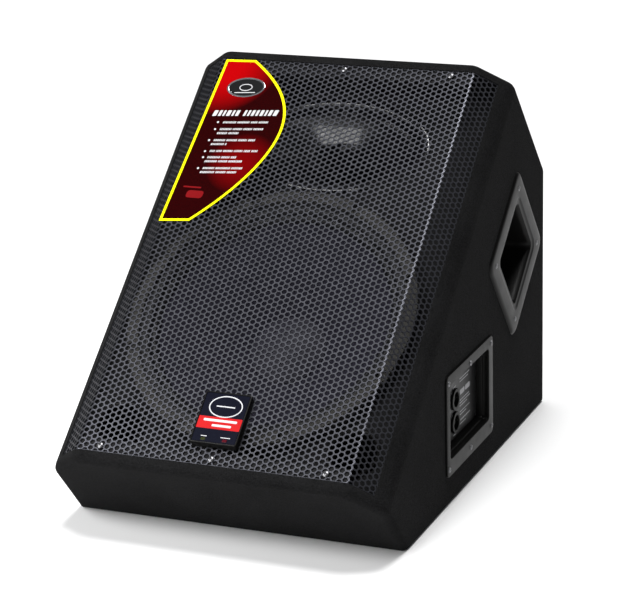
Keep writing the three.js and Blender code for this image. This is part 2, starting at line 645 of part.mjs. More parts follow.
function buildHorn() {
  const tweeter = new THREE.Group();
  tweeter.position.set(0, HORN_UP, 0);
  face.add(tweeter);

  const seat = -BAFFLE_DEPTH + GAP;
  // Each ring is (half width, half height, height).
  const inside = [[HORN_THROAT, HORN_THROAT, -158], [20, 16, -140], [36, 22, -116], [62, 31, -92],
    [74, 38, -84], [100, 52, -70], [116, 61, -58], [123, 65.5, -48], [126, 68.5, seat + 2.6]];
  const lip = [[HORN_HALF_WIDTH - 2, HORN_HALF_HEIGHT - 2, seat + 2.6],
    [HORN_HALF_WIDTH, HORN_HALF_HEIGHT, seat + 1], [HORN_HALF_WIDTH, HORN_HALF_HEIGHT, seat]];
  const outside = [[127.5, 70, seat], [127, 69.5, -52], [119, 64, -61], [102.5, 54.5, -73],
    [76.5, 40.5, -87], [64.5, 33.5, -95], [38.5, 24.5, -119], [22.5, 18.5, -143], [16, 16, -152],
    [34, 34, -152], [34, 34, -158]];
  const rings = [...inside, ...lip, ...outside].map(([a, b, z]) => ellipseRing(a, b, z));
  add(tweeter, 'horn', loft(rings.reverse(), true), GLOSS_PLASTIC);

  const poleFront = -158 - GAP;
  const poleBack = poleFront - 8;
  const pole = turned([[HORN_THROAT, poleFront], [HORN_THROAT + 2, poleBack - 15], [16, poleBack - 17],
    [21.5, poleBack - 17], [21.5, poleBack], [46, poleBack], [46, poleFront]], COARSE);
  add(tweeter, 'hf_pole_piece', pole, PLATED_STEEL);
  add(tweeter, 'hf_magnet', ring(24, 48, poleBack - GAP - 12, poleBack - GAP, COARSE), FERRITE);
  const topFront = poleBack - 2 * GAP - 12;
  add(tweeter, 'hf_top_plate', ring(23.4, 45, topFront - 5, topFront, COARSE), PLATED_STEEL);
  const domeLine = steps(0, 23, 4).map(
    (radius) => [radius, topFront - 9 - 6 * Math.sqrt(1 - (radius / 24) ** 2)]);
  add(tweeter, 'hf_diaphragm', turnedSheet(domeLine, 0.5, COARSE), TITANIUM);
  const coverFront = topFront - 5 - GAP;
  const cover = turned([[0, coverFront - 18], [38, coverFront - 18], [43, coverFront - 14], [43, coverFront],
    [40, coverFront], [40, coverFront - 12], [36, coverFront - 15], [0, coverFront - 15]], COARSE);
  add(tweeter, 'hf_rear_cover', cover, PLASTIC);
}

// ---------------------------------------------------------------- handles

function buildHandles() {
  const flange = HANDLE_SIZE / 2;
  const mouth = HANDLE_MOUTH / 2;
  // Each ring is (half side, corner radius, height).
  const inside = [[28, 18, -HANDLE_POCKET], [40, 16, -HANDLE_POCKET + 4],
    [mouth - 3, 13, -HANDLE_POCKET + 20], [mouth - 1, 12, -8], [mouth + 1, 13, 0],
    [mouth + 6, 16, HANDLE_PROUD - 0.6]];
  const rim = [[flange - 8, 20, HANDLE_PROUD], [flange - 2, 20, HANDLE_PROUD - 1],
    [flange, 20, HANDLE_PROUD - 3.5], [flange, 20, GAP]];
  const outside = [[mouth + 5, 14, GAP], [mouth + 5, 14, -10], [mouth, 14, -HANDLE_POCKET + 16],
    [43, 16, -HANDLE_POCKET + 1], [30, 18, -HANDLE_POCKET - 3]];
  const rings = [...inside, ...rim, ...outside].map(([half, radius, z]) => squareRing(half, radius, z));
  const cup = loft(rings.reverse(), false);
  for (const [name, { group, sign }] of Object.entries(sides)) {
    const turnedCup = cup.clone().rotateZ(radians(sign * HANDLE_TURN));
    add(group, `handle_${name}`, moved(turnedCup, sign * HANDLE_BACK, HANDLE_HIGH, 0), PLASTIC);
  }
}

// ---------------------------------------------------------------- input dish and sockets

const SOCKET_COLUMN = -13; // from the middle of the recess
const JACK_COLUMN = -53;
const SOCKET_ROWS = [8, -24];

function buildDish() {
  const { group } = sides.right;
  const floorTop = -DISH_RECESS;
  const outer = [DISH_WIDTH + 2 * DISH_WALL, DISH_HEIGHT + 2 * DISH_WALL];
  const tray = roundedSlab(outer[0], outer[1], 5, floorTop - DISH_WALL, GAP + 1);
  const flange = moved(roundedSlab(DISH_WIDTH + 2 * DISH_RIM, 138, 8, GAP, 3), 2.5, -4, 0);
  const recess = roundedSlab(DISH_WIDTH, DISH_HEIGHT, 4, floorTop, 10);
  const back = roundedSlab(DISH_WIDTH - 14, DISH_HEIGHT - 14, 3, floorTop - 10, floorTop + 1);
  const place = (piece) => moved(piece, DISH_BACK, DISH_HIGH, 0);
  add(group, 'input_dish', place(cut(join(tray, flange), recess, back)), PLASTIC);

  const plateLow = floorTop + GAP;
  const plateTop = plateLow + 1.5;
  const atRows = (tool, x) => SOCKET_ROWS.map((y) => moved(tool, x, y, 0));
  const holes = [
    ...atRows(disc(SOCKET_RADIUS + 0.4, -60, 10, 24), SOCKET_COLUMN),
    ...atRows(disc(8.4, -60, 10, 20), JACK_COLUMN),
  ];
  const blank = roundedSlab(DISH_WIDTH - 1.5, DISH_HEIGHT - 1.5, 3, plateLow, plateTop);
  add(group, 'input_plate', place(cut(blank, ...holes)), CAST_ALLOY);

  const socket = turned([[0, plateTop - 28], [SOCKET_RADIUS, plateTop - 28],
    [SOCKET_RADIUS, plateTop + GAP], [15, plateTop + GAP], [15, plateTop + 3], [9.8, plateTop + 3],
    [9.8, plateTop - 20], [0, plateTop - 20]], COARSE);
  const jack = turned([[3.3, plateTop - 18], [3.3, plateTop + 4], [6.5, plateTop + 4],
    [9.5, plateTop + 3], [9.5, plateTop + GAP], [8, plateTop + GAP], [8, plateTop - 24],
    [0, plateTop - 24], [0, plateTop - 18]], 20);
  for (const [name, piece, column] of [['twist_lock_socket', socket, SOCKET_COLUMN],
    ['jack_socket', jack, JACK_COLUMN]]) {
    const [upper, lower] = atRows(piece, column);
    add(group, `${name}_upper`, place(upper), PLASTIC);
    add(group, `${name}_lower`, place(lower), PLASTIC);
  }
}

// ---------------------------------------------------------------- crossover, leads and wadding

const BOARD_MIDDLE = [20, FLOOR_REAR - 120];
const BOARD_LEVEL = WALL + 8;

function buildCrossover() {
  const [x, y] = BOARD_MIDDLE;
  const base = box(x - 75, x + 75, y - 50, y + 50, BOARD_LEVEL, BOARD_LEVEL + 1.6);
  const posts = [[-68, -43], [68, -43], [-68, 43], [68, 43]].map(([dx, dy]) =>
    moved(disc(4, WALL + GAP, BOARD_LEVEL + 0.5, 12), x + dx, y + dy, 0));
  add(monitor, 'crossover_board', join(base, ...posts), BOARD_GREEN);
  const seat = BOARD_LEVEL + 1.6 + GAP;
  const bobbin = (core, radius, height) => turned([[core, 0], [radius, 0], [radius, 2], [radius - 3, 2],
    [radius - 3, height - 2], [radius, height - 2], [radius, height], [core, height]], 24);
  add(monitor, 'woofer_choke', moved(bobbin(11, 30, 26), x - 38, y, seat), COPPER);
  add(monitor, 'hf_choke', moved(bobbin(7, 18, 18), x + 22, y + 24, seat), COPPER);
  const capacitor = disc(11, -24, 24, 24).rotateY(Math.PI / 2);
  add(monitor, 'hf_capacitor', moved(capacitor, x + 40, y - 24, seat + 11), finish(0x8f2f22, 0.4));
}

function buildLeads() {
  const [x, y] = BOARD_MIDDLE;
  const level = BOARD_LEVEL + 1.6 + 2.6;
  const local = (dx, dy, dz) => new THREE.Vector3(dx, dy, dz).applyMatrix4(FACE_FRAME).toArray();
  const woofer = [[x - 60, y - 38, level], [x - 64, y - 60, level + 4], [x - 60, y - 110, level + 26],
    local(-6, WOOFER_UP + 112, -188), local(0, WOOFER_UP + 106, -160), local(0, WOOFER_UP + 100, -142)];
  add(monitor, 'woofer_lead', lead(woofer, 2.2), finish(0x7a1c1c, 0.5));
  const tweeter = [[x + 66, y + 6, level], [x + 78, y + 6, level + 8], [x + 84, y + 10, 110],
    [x + 70, y + 6, 190], local(52, HORN_UP - 4, -212), local(47.5, HORN_UP, -196)];
  add(monitor, 'hf_lead', lead(tweeter, 2.2), finish(0x1f2f66, 0.5));
}

function buildWadding() {
  const front = FLOOR_REAR - WALL - 24;
  add(monitor, 'wadding', alongX([[front, 60], [FLOOR_REAR - WALL - 1, 60], [FLOOR_REAR - WALL - 1, 300],
    [front, 290]], -150, 150), WADDING);
}

buildBoards();
buildCarpet();
buildGrille();
buildBadge();
buildCard();
buildPorts();
buildWoofer();
buildHorn();
buildHandles();
buildDish();
buildCrossover();
buildLeads();
buildWadding();

export default monitor;
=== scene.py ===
"""The look of a carpeted stage monitor wedge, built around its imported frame.

Pieces are modelled in millimetres in a frame of their own, such as the grille's or a side's, and
are then carried to the row frame in metres. +Z is up, +X is the right-hand side and the front faces -Y.
"""

import logging
import math
import random
from dataclasses import dataclass
from enum import Enum
from typing import Any, Sequence

import bmesh
import bpy
from mathutils import Matrix, Vector
from mathutils.bvhtree import BVHTree


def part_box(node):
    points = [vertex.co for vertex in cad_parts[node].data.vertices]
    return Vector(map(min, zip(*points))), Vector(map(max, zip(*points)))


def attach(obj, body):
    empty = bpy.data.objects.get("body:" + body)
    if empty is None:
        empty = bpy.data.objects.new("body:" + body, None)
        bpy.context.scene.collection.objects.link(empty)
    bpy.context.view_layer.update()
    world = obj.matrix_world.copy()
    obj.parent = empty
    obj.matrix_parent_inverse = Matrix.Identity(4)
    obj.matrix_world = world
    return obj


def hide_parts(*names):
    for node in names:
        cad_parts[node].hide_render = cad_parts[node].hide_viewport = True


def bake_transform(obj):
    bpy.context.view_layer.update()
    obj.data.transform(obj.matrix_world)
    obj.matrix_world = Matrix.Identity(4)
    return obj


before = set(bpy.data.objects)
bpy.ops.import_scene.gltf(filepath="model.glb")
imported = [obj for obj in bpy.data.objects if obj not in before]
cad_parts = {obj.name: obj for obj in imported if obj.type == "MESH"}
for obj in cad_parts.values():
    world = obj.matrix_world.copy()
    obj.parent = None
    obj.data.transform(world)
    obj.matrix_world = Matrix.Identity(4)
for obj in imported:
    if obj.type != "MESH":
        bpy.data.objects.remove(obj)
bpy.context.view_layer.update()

log = logging.getLogger("stage_monitor")

MM = 0.001
CABINET = "cabinet"
WOOFER_BODY = "woofer_moving_parts"

Pair = tuple[float, float]
Triple = tuple[float, float, float]
Ring = list[Triple]


# ------------------------------------------------------------------ shaders


class Grain(Enum):
    """The kinds of fine surface that a finish can have."""

    FELT = "felt"
    PEBBLE = "pebble"
    BRUSHED = "brushed"
    PAPER = "paper"
    CLOTH = "cloth"
    PAINT = "paint"


class Number:
    """A number inside a shader, so that its sums can be written as plain Python."""

    def __init__(self, shader: "Shader", socket: Any) -> None:
        """Wraps one socket of a shader."""
        self.shader = shader
        self.socket = socket

    def _sum(self, operation: str, first: Any, second: Any) -> "Number":
        """Adds one Math node for two values."""
        return self.shader.number("ShaderNodeMath", {"operation": operation}, {0: first, 1: second})

    def __add__(self, other: Any) -> "Number":
        """This plus other."""
        return self._sum("ADD", self, other)

    __radd__ = __add__

    def __sub__(self, other: Any) -> "Number":
        """This less other."""
        return self._sum("SUBTRACT", self, other)

    def __rsub__(self, other: Any) -> "Number":
        """Other less this."""
        return self._sum("SUBTRACT", other, self)

    def __mul__(self, other: Any) -> "Number":
        """This times other."""
        return self._sum("MULTIPLY", self, other)

    __rmul__ = __mul__

    def greater(self, other: Any) -> "Number":
        """The greater of the two."""
        return self._sum("MAXIMUM", self, other)

    def spread(self, low: float, high: float) -> "Number":
        """Stretches low..high over 0..1, and holds it there."""
        return self.shader.number("ShaderNodeMapRange", {"clamp": True}, {0: self, 1: low, 2: high})


class NodeTree:
    """A tree that is built node by node."""

    def __init__(self, tree: Any) -> None:
        """Wraps a tree."""
        self.tree = tree

    def feed(self, socket: Any, value: Any) -> None:
        """Links an input to a socket or a Number, or sets its value."""
        source = value.socket if isinstance(value, Number) else value
        if isinstance(source, bpy.types.NodeSocket):
            self.tree.links.new(source, socket)
        else:
            socket.default_value = source

    def node(self, kind: str, settings: dict[str, Any], inputs: dict[Any, Any]) -> Any:
        """Adds a node.

        Args:
            kind: The node's type.
            settings: Its own properties, set before its sockets.
            inputs: Values, sockets or Numbers for its inputs, by name or index.

        Returns:
            The node.
        """
        made = self.tree.nodes.new(kind)
        for key, value in settings.items():
            setattr(made, key, value)
        for key, value in inputs.items():
            self.feed(made.inputs[key], value)
        return made


class Shader(NodeTree):
    """A node material with one Principled surface."""

    def __init__(self, name: str) -> None:
        """Starts an empty material of that name."""
        self.material = bpy.data.materials.new(name)
        self.material.use_nodes = True
        super().__init__(self.material.node_tree)
        self.tree.nodes.clear()
        self.surface = self.node("ShaderNodeBsdfPrincipled", {}, {})
        self.node("ShaderNodeOutputMaterial", {}, {"Surface": self.surface.outputs[0]})
        self.place = self.node("ShaderNodeTexCoord", {}, {}).outputs["Object"]

    def number(self, kind: str, settings: dict[str, Any], inputs: dict[Any, Any]) -> Number:
        """Adds a node and returns its first output as a Number."""
        return Number(self, self.node(kind, settings, inputs).outputs[0])

    def stretched(self, size: float, stretch: Triple) -> Any:
        """Object coordinates scaled so that one unit is size millimetres."""
        scale = tuple(1.0 / (size * MM * s) for s in stretch)
        return self.node("ShaderNodeMapping", {}, {"Vector": self.place, "Scale": scale}).outputs[0]

    def noise(self, size: float, detail: float = 2.0, stretch: Triple = (1, 1, 1)) -> Number:
        """Soft noise whose lumps are size millimetres across."""
        return self.number("ShaderNodeTexNoise", {}, {
            "Vector": self.stretched(size, stretch), "Scale": 1.0, "Detail": detail})

    def cells(self, size: float) -> Number:
        """Distance from the middle of pebbles size millimetres across."""
        return self.number("ShaderNodeTexVoronoi", {}, {
            "Vector": self.stretched(size, (1, 1, 1)), "Scale": 1.0})

    def wave(self, size: float, direction: str) -> Number:
        """Even waves size millimetres apart, across one axis."""
        return self.number("ShaderNodeTexWave", {"bands_direction": direction}, {
            "Vector": self.stretched(size * 6.3, (1, 1, 1)), "Scale": 1.0, "Distortion": 0.6})

    def blend(self, share: Number, first: Triple, second: Triple) -> Any:
        """A colour from first to second as share goes from 0 to 1."""
        mix = self.node("ShaderNodeMix", {"data_type": "RGBA"}, {
            0: share, 6: (*first, 1.0), 7: (*second, 1.0)})
        return mix.outputs[2]

    def along(self, direction: Vector, origin: Vector) -> Number:
        """Millimetres from origin along a direction."""
        away = self.node("ShaderNodeVectorMath", {"operation": "SUBTRACT"}, {
            0: self.place, 1: tuple(origin)}).outputs[0]
        dot = self.node("ShaderNodeVectorMath", {"operation": "DOT_PRODUCT"}, {
            0: away, 1: tuple(direction)})
        return Number(self, dot.outputs["Value"]) * (1.0 / MM)

    def set(self, **sockets: Any) -> None:
        """Sets or links sockets of the surface, with spaces written as underscores."""
        for key, value in sockets.items():
            self.feed(self.surface.inputs[key.replace("_", " ")], value)

    def relief(self, height: Number, depth: float, strength: float) -> None:
        """Gives the surface a bump of depth millimetres."""
        bump = self.node("ShaderNodeBump", {}, {
            "Height": height, "Distance": depth * MM, "Strength": strength})
        self.set(Normal=bump.outputs[0])


def linear(colour: Triple) -> Triple:
    """A display colour as linear light."""
    return tuple(c / 12.92 if c <= 0.04045 else ((c + 0.055) / 1.055) ** 2.4 for c in colour)


MADE: dict[str, bpy.types.Material] = {}


@dataclass(frozen=True)
class Finish:
    """A finish with the grain, unevenness and wear of its surface.

    Colours are display values; size and relief are in millimetres.
    """

    name: str
    colour: Triple
    roughness: float
    grain: Grain = Grain.PEBBLE
    metallic: float = 0.0
    size: float = 0.8
    relief: float = 0.08
    variation: float = 0.14
    coat: float = 0.0
    sheen: float = 0.0
    shine: float = 0.5

    def material(self) -> bpy.types.Material:
        """The finish's material, made once."""
        if self.name not in MADE:
            MADE[self.name] = self.build()
        return MADE[self.name]

    def build(self) -> bpy.types.Material:
        """Builds the material.

        Returns:
            The new material.
        """
        shader = Shader(self.name + "_finish")
        broad = shader.noise(self.size * 30, 3)
        fine, height = self.pattern(shader)
        shade = (fine * 0.65 + broad * 0.35).spread(0.25, 0.75)
        base = linear(self.colour)
        dark = tuple(c * (1 - self.variation) for c in base)
        light = tuple(min(1.0, c * (1 + self.variation)) for c in base)
        shader.set(
            Base_Color=shader.blend(shade, dark, light),
            Roughness=(self.roughness - 0.07) + broad * 0.14,
            Metallic=self.metallic,
            Coat_Weight=self.coat,
            Coat_Roughness=0.08,
            Sheen_Weight=self.sheen,
            Specular_IOR_Level=self.shine,
        )
        shader.relief(height, self.relief, 0.8)
        return shader.material

    def pattern(self, shader: Shader) -> tuple[Number, Number]:
        """The finish's fine colour change and its height.

        Args:
            shader: The shader to add the nodes to.

        Returns:
            Two numbers from 0 to 1: the colour's share, and the height.
        """
        noise = shader.noise(self.size, 3)
        if self.grain is Grain.FELT:
            tufts = shader.noise(self.size * 0.45, 2)
            strands = shader.noise(self.size, 2, (0.35, 2.6, 0.35))
            height = noise * 0.5 + tufts * 0.3 + strands * 0.35
            return (tufts * 0.6 + strands * 0.5).spread(0.38, 0.72), height
        if self.grain is Grain.BRUSHED:
            lines = shader.noise(self.size, 2, (0.4, 12.0, 0.4))
            return lines, lines
        if self.grain is Grain.CLOTH:
            weave = shader.wave(self.size, "X") * shader.wave(self.size, "Z")
            return weave * 0.7 + noise * 0.3, weave
        if self.grain is Grain.PAPER:
            fibres = shader.noise(self.size * 0.6, 4, (1.0, 3.0, 1.0))
            return fibres, fibres * 0.6 + noise * 0.4
        if self.grain is Grain.PAINT:
            return noise, shader.noise(self.size * 2.2, 1)
        return noise, 1.0 - shader.cells(self.size)


@dataclass(frozen=True)
class CardInk(Finish):
    """A coated card printed from bright red to a near-black red, brightest towards two places."""

    deep: Triple = (0.02, 0.0, 0.003)
    glows: tuple[tuple[Pair, float, float], ...] = (
        ((-178, 634), 88, 1.15), ((-100, 470), 50, 0.34))

    def build(self) -> bpy.types.Material:
        """Builds the card's material."""
        shader = Shader(self.name + "_finish")
        across = shader.along(FACE.across, FACE.origin)
        up = shader.along(FACE.up, FACE.origin)
        glow = None
        for spot_middle, reach, share in self.glows:
            dx = (across - spot_middle[0]) * (1 / reach)
            dy = (up - spot_middle[1]) * (1 / reach)
            spot = (1.0 - (dx * dx + dy * dy)).spread(0.0, 1.0) * share
            glow = spot if glow is None else glow.greater(spot)
        speckle = shader.noise(1.4, 2)
        share = (glow * 0.94 + speckle * 0.08).spread(0.0, 1.0)
        shader.set(
            Base_Color=shader.blend(share, linear(self.deep), linear(self.colour)),
            Roughness=(self.roughness - 0.05) + speckle * 0.1,
            Coat_Weight=self.coat,
            Specular_IOR_Level=self.shine,
        )
        shader.relief(shader.noise(9, 2), 0.05, 0.4)
        return shader.material


def print_of(name: str, colour: Triple, roughness: float = 0.4, size: float = 1.0,
             shine: float = 0.1, variation: float = 0.14) -> Finish:
    """A thin, even print, paint or lens."""
    return Finish(name, colour, roughness, Grain.PAINT, size=size, relief=0.01, variation=variation,
                  shine=shine)


CARPET = Finish("carpet_felt", (0.082, 0.082, 0.084), 0.95, Grain.FELT, size=2.4, relief=1.0,
                variation=0.7, sheen=0.015, shine=0.02)
BOARD = Finish("painted_board", (0.06, 0.06, 0.065), 0.8, Grain.PAINT, size=1.6, relief=0.12,
               shine=0.15)
GRILLE_PAINT = Finish("grille_powder_coat", (0.29, 0.293, 0.315), 0.36, Grain.PAINT, metallic=0.86,
                      size=0.5, relief=0.02, variation=0.12, shine=0.3)
SCREW = Finish("blackened_screw", (0.42, 0.42, 0.43), 0.3, Grain.BRUSHED, 0.9, size=0.3,
               relief=0.02)
BLACK_SCREW = Finish("black_screw", (0.14, 0.14, 0.15), 0.36, Grain.BRUSHED, 0.6, size=0.3,
                     relief=0.02, shine=0.3)
MOULDED = Finish("moulded_plastic", (0.05, 0.049, 0.047), 0.36, Grain.PEBBLE, size=0.7, relief=0.02,
                 shine=0.09)
GLOSSY = Finish("glossy_plastic", (0.05, 0.05, 0.06), 0.14, Grain.PAINT, size=2.0, relief=0.01,
                coat=0.5, shine=0.5)
BADGE_INK = print_of("badge_face_gloss", (0.06, 0.065, 0.105), 0.2, 3.0, 0.08)
RED_INK = print_of("red_ink", (0.66, 0.07, 0.08), size=0.8)
WHITE_INK = print_of("white_ink", (0.72, 0.72, 0.73), size=0.6, shine=0.15, variation=0.08)
GREY_INK = print_of("grey_ink", (0.62, 0.62, 0.63), 0.5, 0.5, 0.2)
YELLOW_INK = print_of("yellow_ink", (0.9, 0.88, 0.0), size=1.2, variation=0.07)
CHROME = Finish("bright_rim", (0.82, 0.83, 0.85), 0.16, Grain.BRUSHED, 0.95, size=0.4, relief=0.01)
OVAL_INK = print_of("oval_ink", (0.05, 0.055, 0.06), 0.3, 1.5, 0.2)
DARK_RED_INK = print_of("dark_red_ink", (0.42, 0.0, 0.02))
CARD = CardInk("card_ink", (0.6, 0.0, 0.012), 0.4, Grain.PAINT, shine=0.015)
OLIVE_LENS = print_of("olive_lens", (0.15, 0.165, 0.07), 0.18, shine=0.3)
RED_LENS = print_of("red_lens", (0.27, 0.02, 0.07), 0.18, shine=0.3)
CAST = Finish("cast_alloy_paint", (0.14, 0.14, 0.15), 0.55, Grain.PEBBLE, 0.3, size=1.2, relief=0.1,
              shine=0.3)
PLATE = Finish("input_plate_paint", (0.075, 0.075, 0.08), 0.4, Grain.PAINT, 0.2, size=0.5,
               relief=0.02, shine=0.25)
GASKET = Finish("gasket_foam", (0.235, 0.232, 0.225), 0.9, Grain.PEBBLE, size=0.9, relief=0.2,
                shine=0.1)
DOPED = Finish("doped_cloth", (0.07, 0.07, 0.08), 0.5, Grain.CLOTH, size=0.7, relief=0.12,
               shine=0.3)
PAPER = Finish("cone_paper", (0.12, 0.115, 0.155), 0.8, Grain.PAPER, size=1.6, relief=0.12,
               variation=0.22, shine=0.15)
CAP_PAPER = Finish("dust_cap_paper", (0.16, 0.155, 0.19), 0.62, Grain.PAPER, size=1.2, relief=0.08,
                   shine=0.2)
PLATED = Finish("zinc_plate", (0.55, 0.57, 0.58), 0.38, Grain.BRUSHED, 0.9, size=0.5, relief=0.02)
FERRITE = Finish("ferrite", (0.165, 0.165, 0.173), 0.75, Grain.PEBBLE, size=0.8, relief=0.1)
TITANIUM = Finish("titanium_foil", (0.56, 0.56, 0.58), 0.28, Grain.BRUSHED, 0.9, size=0.3,
                  relief=0.01)
COPPER = Finish("copper_wire", (0.64, 0.35, 0.16), 0.35, Grain.CLOTH, 0.8, size=0.6, relief=0.15)
CIRCUIT = Finish("circuit_board", (0.11, 0.29, 0.17), 0.42, Grain.PAINT, size=2.0, relief=0.05)
SLEEVE = Finish("capacitor_sleeve", (0.56, 0.18, 0.13), 0.38, Grain.PAINT, size=1.5, relief=0.03)
RED_LEAD = Finish("red_lead", (0.48, 0.11, 0.11), 0.5, Grain.PAINT, size=1.0, relief=0.03)
BLUE_LEAD = Finish("blue_lead", (0.12, 0.18, 0.4), 0.5, Grain.PAINT, size=1.0, relief=0.03)
WADDING = Finish("polyester_wadding", (0.73, 0.72, 0.69), 1.0, Grain.FELT, size=3.0, relief=2.5)


# ------------------------------------------------------------------ places


def furthest(node: str, direction: Triple) -> Vector:
    """The point of a CAD node that lies furthest in a direction."""
    towards = Vector(direction)
    return max((v.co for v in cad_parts[node].data.vertices), key=towards.dot).copy()


def middle(node: str) -> Vector:
    """The middle of a CAD node's box."""
    low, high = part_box(node)
    return (low + high) / 2


@dataclass(frozen=True)
class Place:
    """A right-handed frame on the cabinet, with its origin in metres."""

    origin: Vector
    across: Vector
    up: Vector
    out: Vector

    def matrix(self, x: float = 0.0, y: float = 0.0, z: float = 0.0, turn: float = 0.0) -> Matrix:
        """Carries millimetres in this frame to metres in the row frame.

        Args:
            x: Where the piece's own origin is, across.
            y: And up.
            z: And out.
            turn: How far the piece is turned about the outward axis, in degrees.

        Returns:
            The matrix.
        """
        basis = Matrix((self.across, self.up, self.out)).transposed().to_4x4()
        shift = Matrix.Translation((x * MM, y * MM, z * MM))
        spin = Matrix.Rotation(math.radians(turn), 4, "Z")
        return Matrix.Translation(self.origin) @ basis @ (shift @ spin) @ Matrix.Scale(MM, 4)

    def local(self, point: Vector) -> Triple:
        """A row-frame point as millimetres across, up and out."""
        away = (point - self.origin) / MM
        return away.dot(self.across), away.dot(self.up), away.dot(self.out)


def face_place() -> Place:
    """The grille's frame: its origin is the middle of the nose edge."""
    nose = furthest("carpet_kick", (0, -1, 0))
    top = furthest("carpet_top", (0, 0, 1))
    up = Vector((0, top.y - nose.y, top.z - nose.z)).normalized()
    across = Vector((1, 0, 0))
    return Place(Vector((0, nose.y, nose.z)), across, up, across.cross(up))


def side_place(sign: int) -> Place:
    """A side's frame: its origin is on the floor, level with the floor panel's front edge."""
    front = furthest("carpet_floor", (0, -1, -3))
    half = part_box("carpet_right")[1].x
    return Place(Vector((sign * half, front.y, 0)), Vector((0, sign, 0)), Vector((0, 0, 1)),
                 Vector((sign, 0, 0)))


FACE = face_place()


# ------------------------------------------------------------------ meshes


def rounded(width: float, height: float, radius: float, z: float = 0.0, steps: int = 6) -> Ring:
    """A rectangle with round corners, as a ring at a height."""
    ring = []
    for corner in range(4):
        start = corner * math.pi / 2
        cx = math.copysign(width / 2 - radius, math.cos(start + math.pi / 4))
        cy = math.copysign(height / 2 - radius, math.sin(start + math.pi / 4))
        for step in range(steps + 1):
            angle = start + step / steps * math.pi / 2
            ring.append((cx + radius * math.cos(angle), cy + radius * math.sin(angle), z))
    return ring


def ellipse(half_width: float, half_height: float, z: float = 0.0, sides: int = 72) -> Ring:
    """An ellipse, as a ring at a height."""
    turns = [i / sides * math.tau for i in range(sides)]
    return [(half_width * math.cos(a), half_height * math.sin(a), z) for a in turns]


def oblong(left: float, low: float, right: float, high: float) -> Ring:
    """A rectangle between two corners, as a ring at height 0."""
    return [(left, low, 0), (right, low, 0), (right, high, 0), (left, high, 0)]


def moved(ring: Ring, dx: float, dy: float) -> Ring:
    """The same ring moved across and up."""
    return [(x + dx, y + dy, z) for x, y, z in ring]


def at_height(ring: Sequence[Sequence[float]], z: float) -> Ring:
    """The same ring at another height."""
    return [(p[0], p[1], z) for p in ring]


def drawn_in(ring: Sequence[Sequence[float]], amount: float) -> Ring:
    """An anticlockwise ring moved inwards by an amount, with its corners kept sharp."""
    count = len(ring)
    inset = []
    for i, point in enumerate(ring):
        before, after = Vector(ring[i - 1][:2]), Vector(ring[(i + 1) % count][:2])
        here = Vector(point[:2])
        first, second = (here - before).normalized(), (after - here).normalized()
        normal = Vector((-first.y - second.y, first.x + second.x))
        normal.normalize()
        stretch = max(0.5, normal.dot(Vector((-first.y, first.x))))
        inner = here + normal * (amount / stretch)
        inset.append((inner.x, inner.y, point[2]))
    return inset


class Body:
    """Closed shapes of one piece in the making, in millimetres, with a finish for each face."""

    def __init__(self) -> None:
        """Starts with nothing."""
        self.points: Ring = []
        self.faces: list[tuple[int, ...]] = []
        self.looks: list[int] = []

    def loft(self, rings: Sequence[Ring], tube: bool = False, look: int = 0) -> "Body":
        """Joins rings in order.

        Args:
            rings: Rings with the same number of points.
            tube: Whether the last ring joins the first; otherwise both ends are capped.
            look: Which of the piece's finishes it has.

        Returns:
            This body.
        """
        base, count = len(self.points), len(rings[0])
        for ring in rings:
            self.points.extend(ring)
        before = len(self.faces)
        for i in range(len(rings) if tube else len(rings) - 1):
            low, high = base + i * count, base + (i + 1) % len(rings) * count
            for j in range(count):
                k = (j + 1) % count
                self.faces.append((low + j, low + k, high + k, high + j))
        if not tube:
            last = base + (len(rings) - 1) * count
            self.faces.append(tuple(range(base + count - 1, base - 1, -1)))
            self.faces.append(tuple(range(last, last + count)))
        self.looks.extend([look] * (len(self.faces) - before))
        return self

    def add(self, other: "Body", place: Matrix) -> "Body":
        """Adds another body's shapes, moved by a matrix."""
        base = len(self.points)
        self.points.extend(tuple(place @ Vector(p)) for p in other.points)
        self.faces.extend(tuple(base + i for i in face) for face in other.faces)
        self.looks.extend(other.looks)
        return self

    def lathe(self, profile: Sequence[Pair], sides: int = 96, tube: bool = True,
              look: int = 0) -> "Body":
        """Turns a (radius, height) profile about the outward axis; one with no tube is capped."""
        return self.loft([ellipse(r, r, z, sides) for r, z in profile], tube, look)

    def slab(self, outline: Ring, low: float, high: float, edge: float = 0.3) -> "Body":
        """A flat piece of an outline, with its edges eased."""
        inner = drawn_in(outline, edge)
        return self.loft([at_height(inner, low), at_height(outline, low + edge),
                          at_height(outline, high - edge), at_height(inner, high)])

    def bar(self, x: float, y: float, width: float, height: float, low: float, high: float,
            look: int = 0, slant: float = 0.0, corner: float = 0.3) -> "Body":
        """A small bar whose lower left corner is at x, y, with rounded corners."""
        radius = min(width, height) * corner
        ring = [(px + x + width / 2 + slant * py, py + y + height / 2, 0)
                for px, py, _ in rounded(width, height, radius, steps=2)]
        return self.loft([at_height(ring, low), at_height(ring, high)], False, look)

    def piece(self, name: str, place: Matrix, finishes: Sequence[Finish],
              crease: float = 32.0) -> bpy.types.Object:
        """Makes the piece's object.

        Args:
            name: The piece's name.
            place: Carries its points to the row frame.
            finishes: Its finishes, in the order of its looks.
            crease: Edges bent more than this stay sharp, in degrees.

        Returns:
            An object at the origin, with its normals recalculated.
        """
        mesh = bpy.data.meshes.new(name)
        mesh.from_pydata(self.points, [], self.faces)
        mesh.polygons.foreach_set("material_index", self.looks)
        mesh.transform(place)
        for finish in finishes:
            mesh.materials.append(finish.material())
        return shown(name, tidied(mesh, crease))


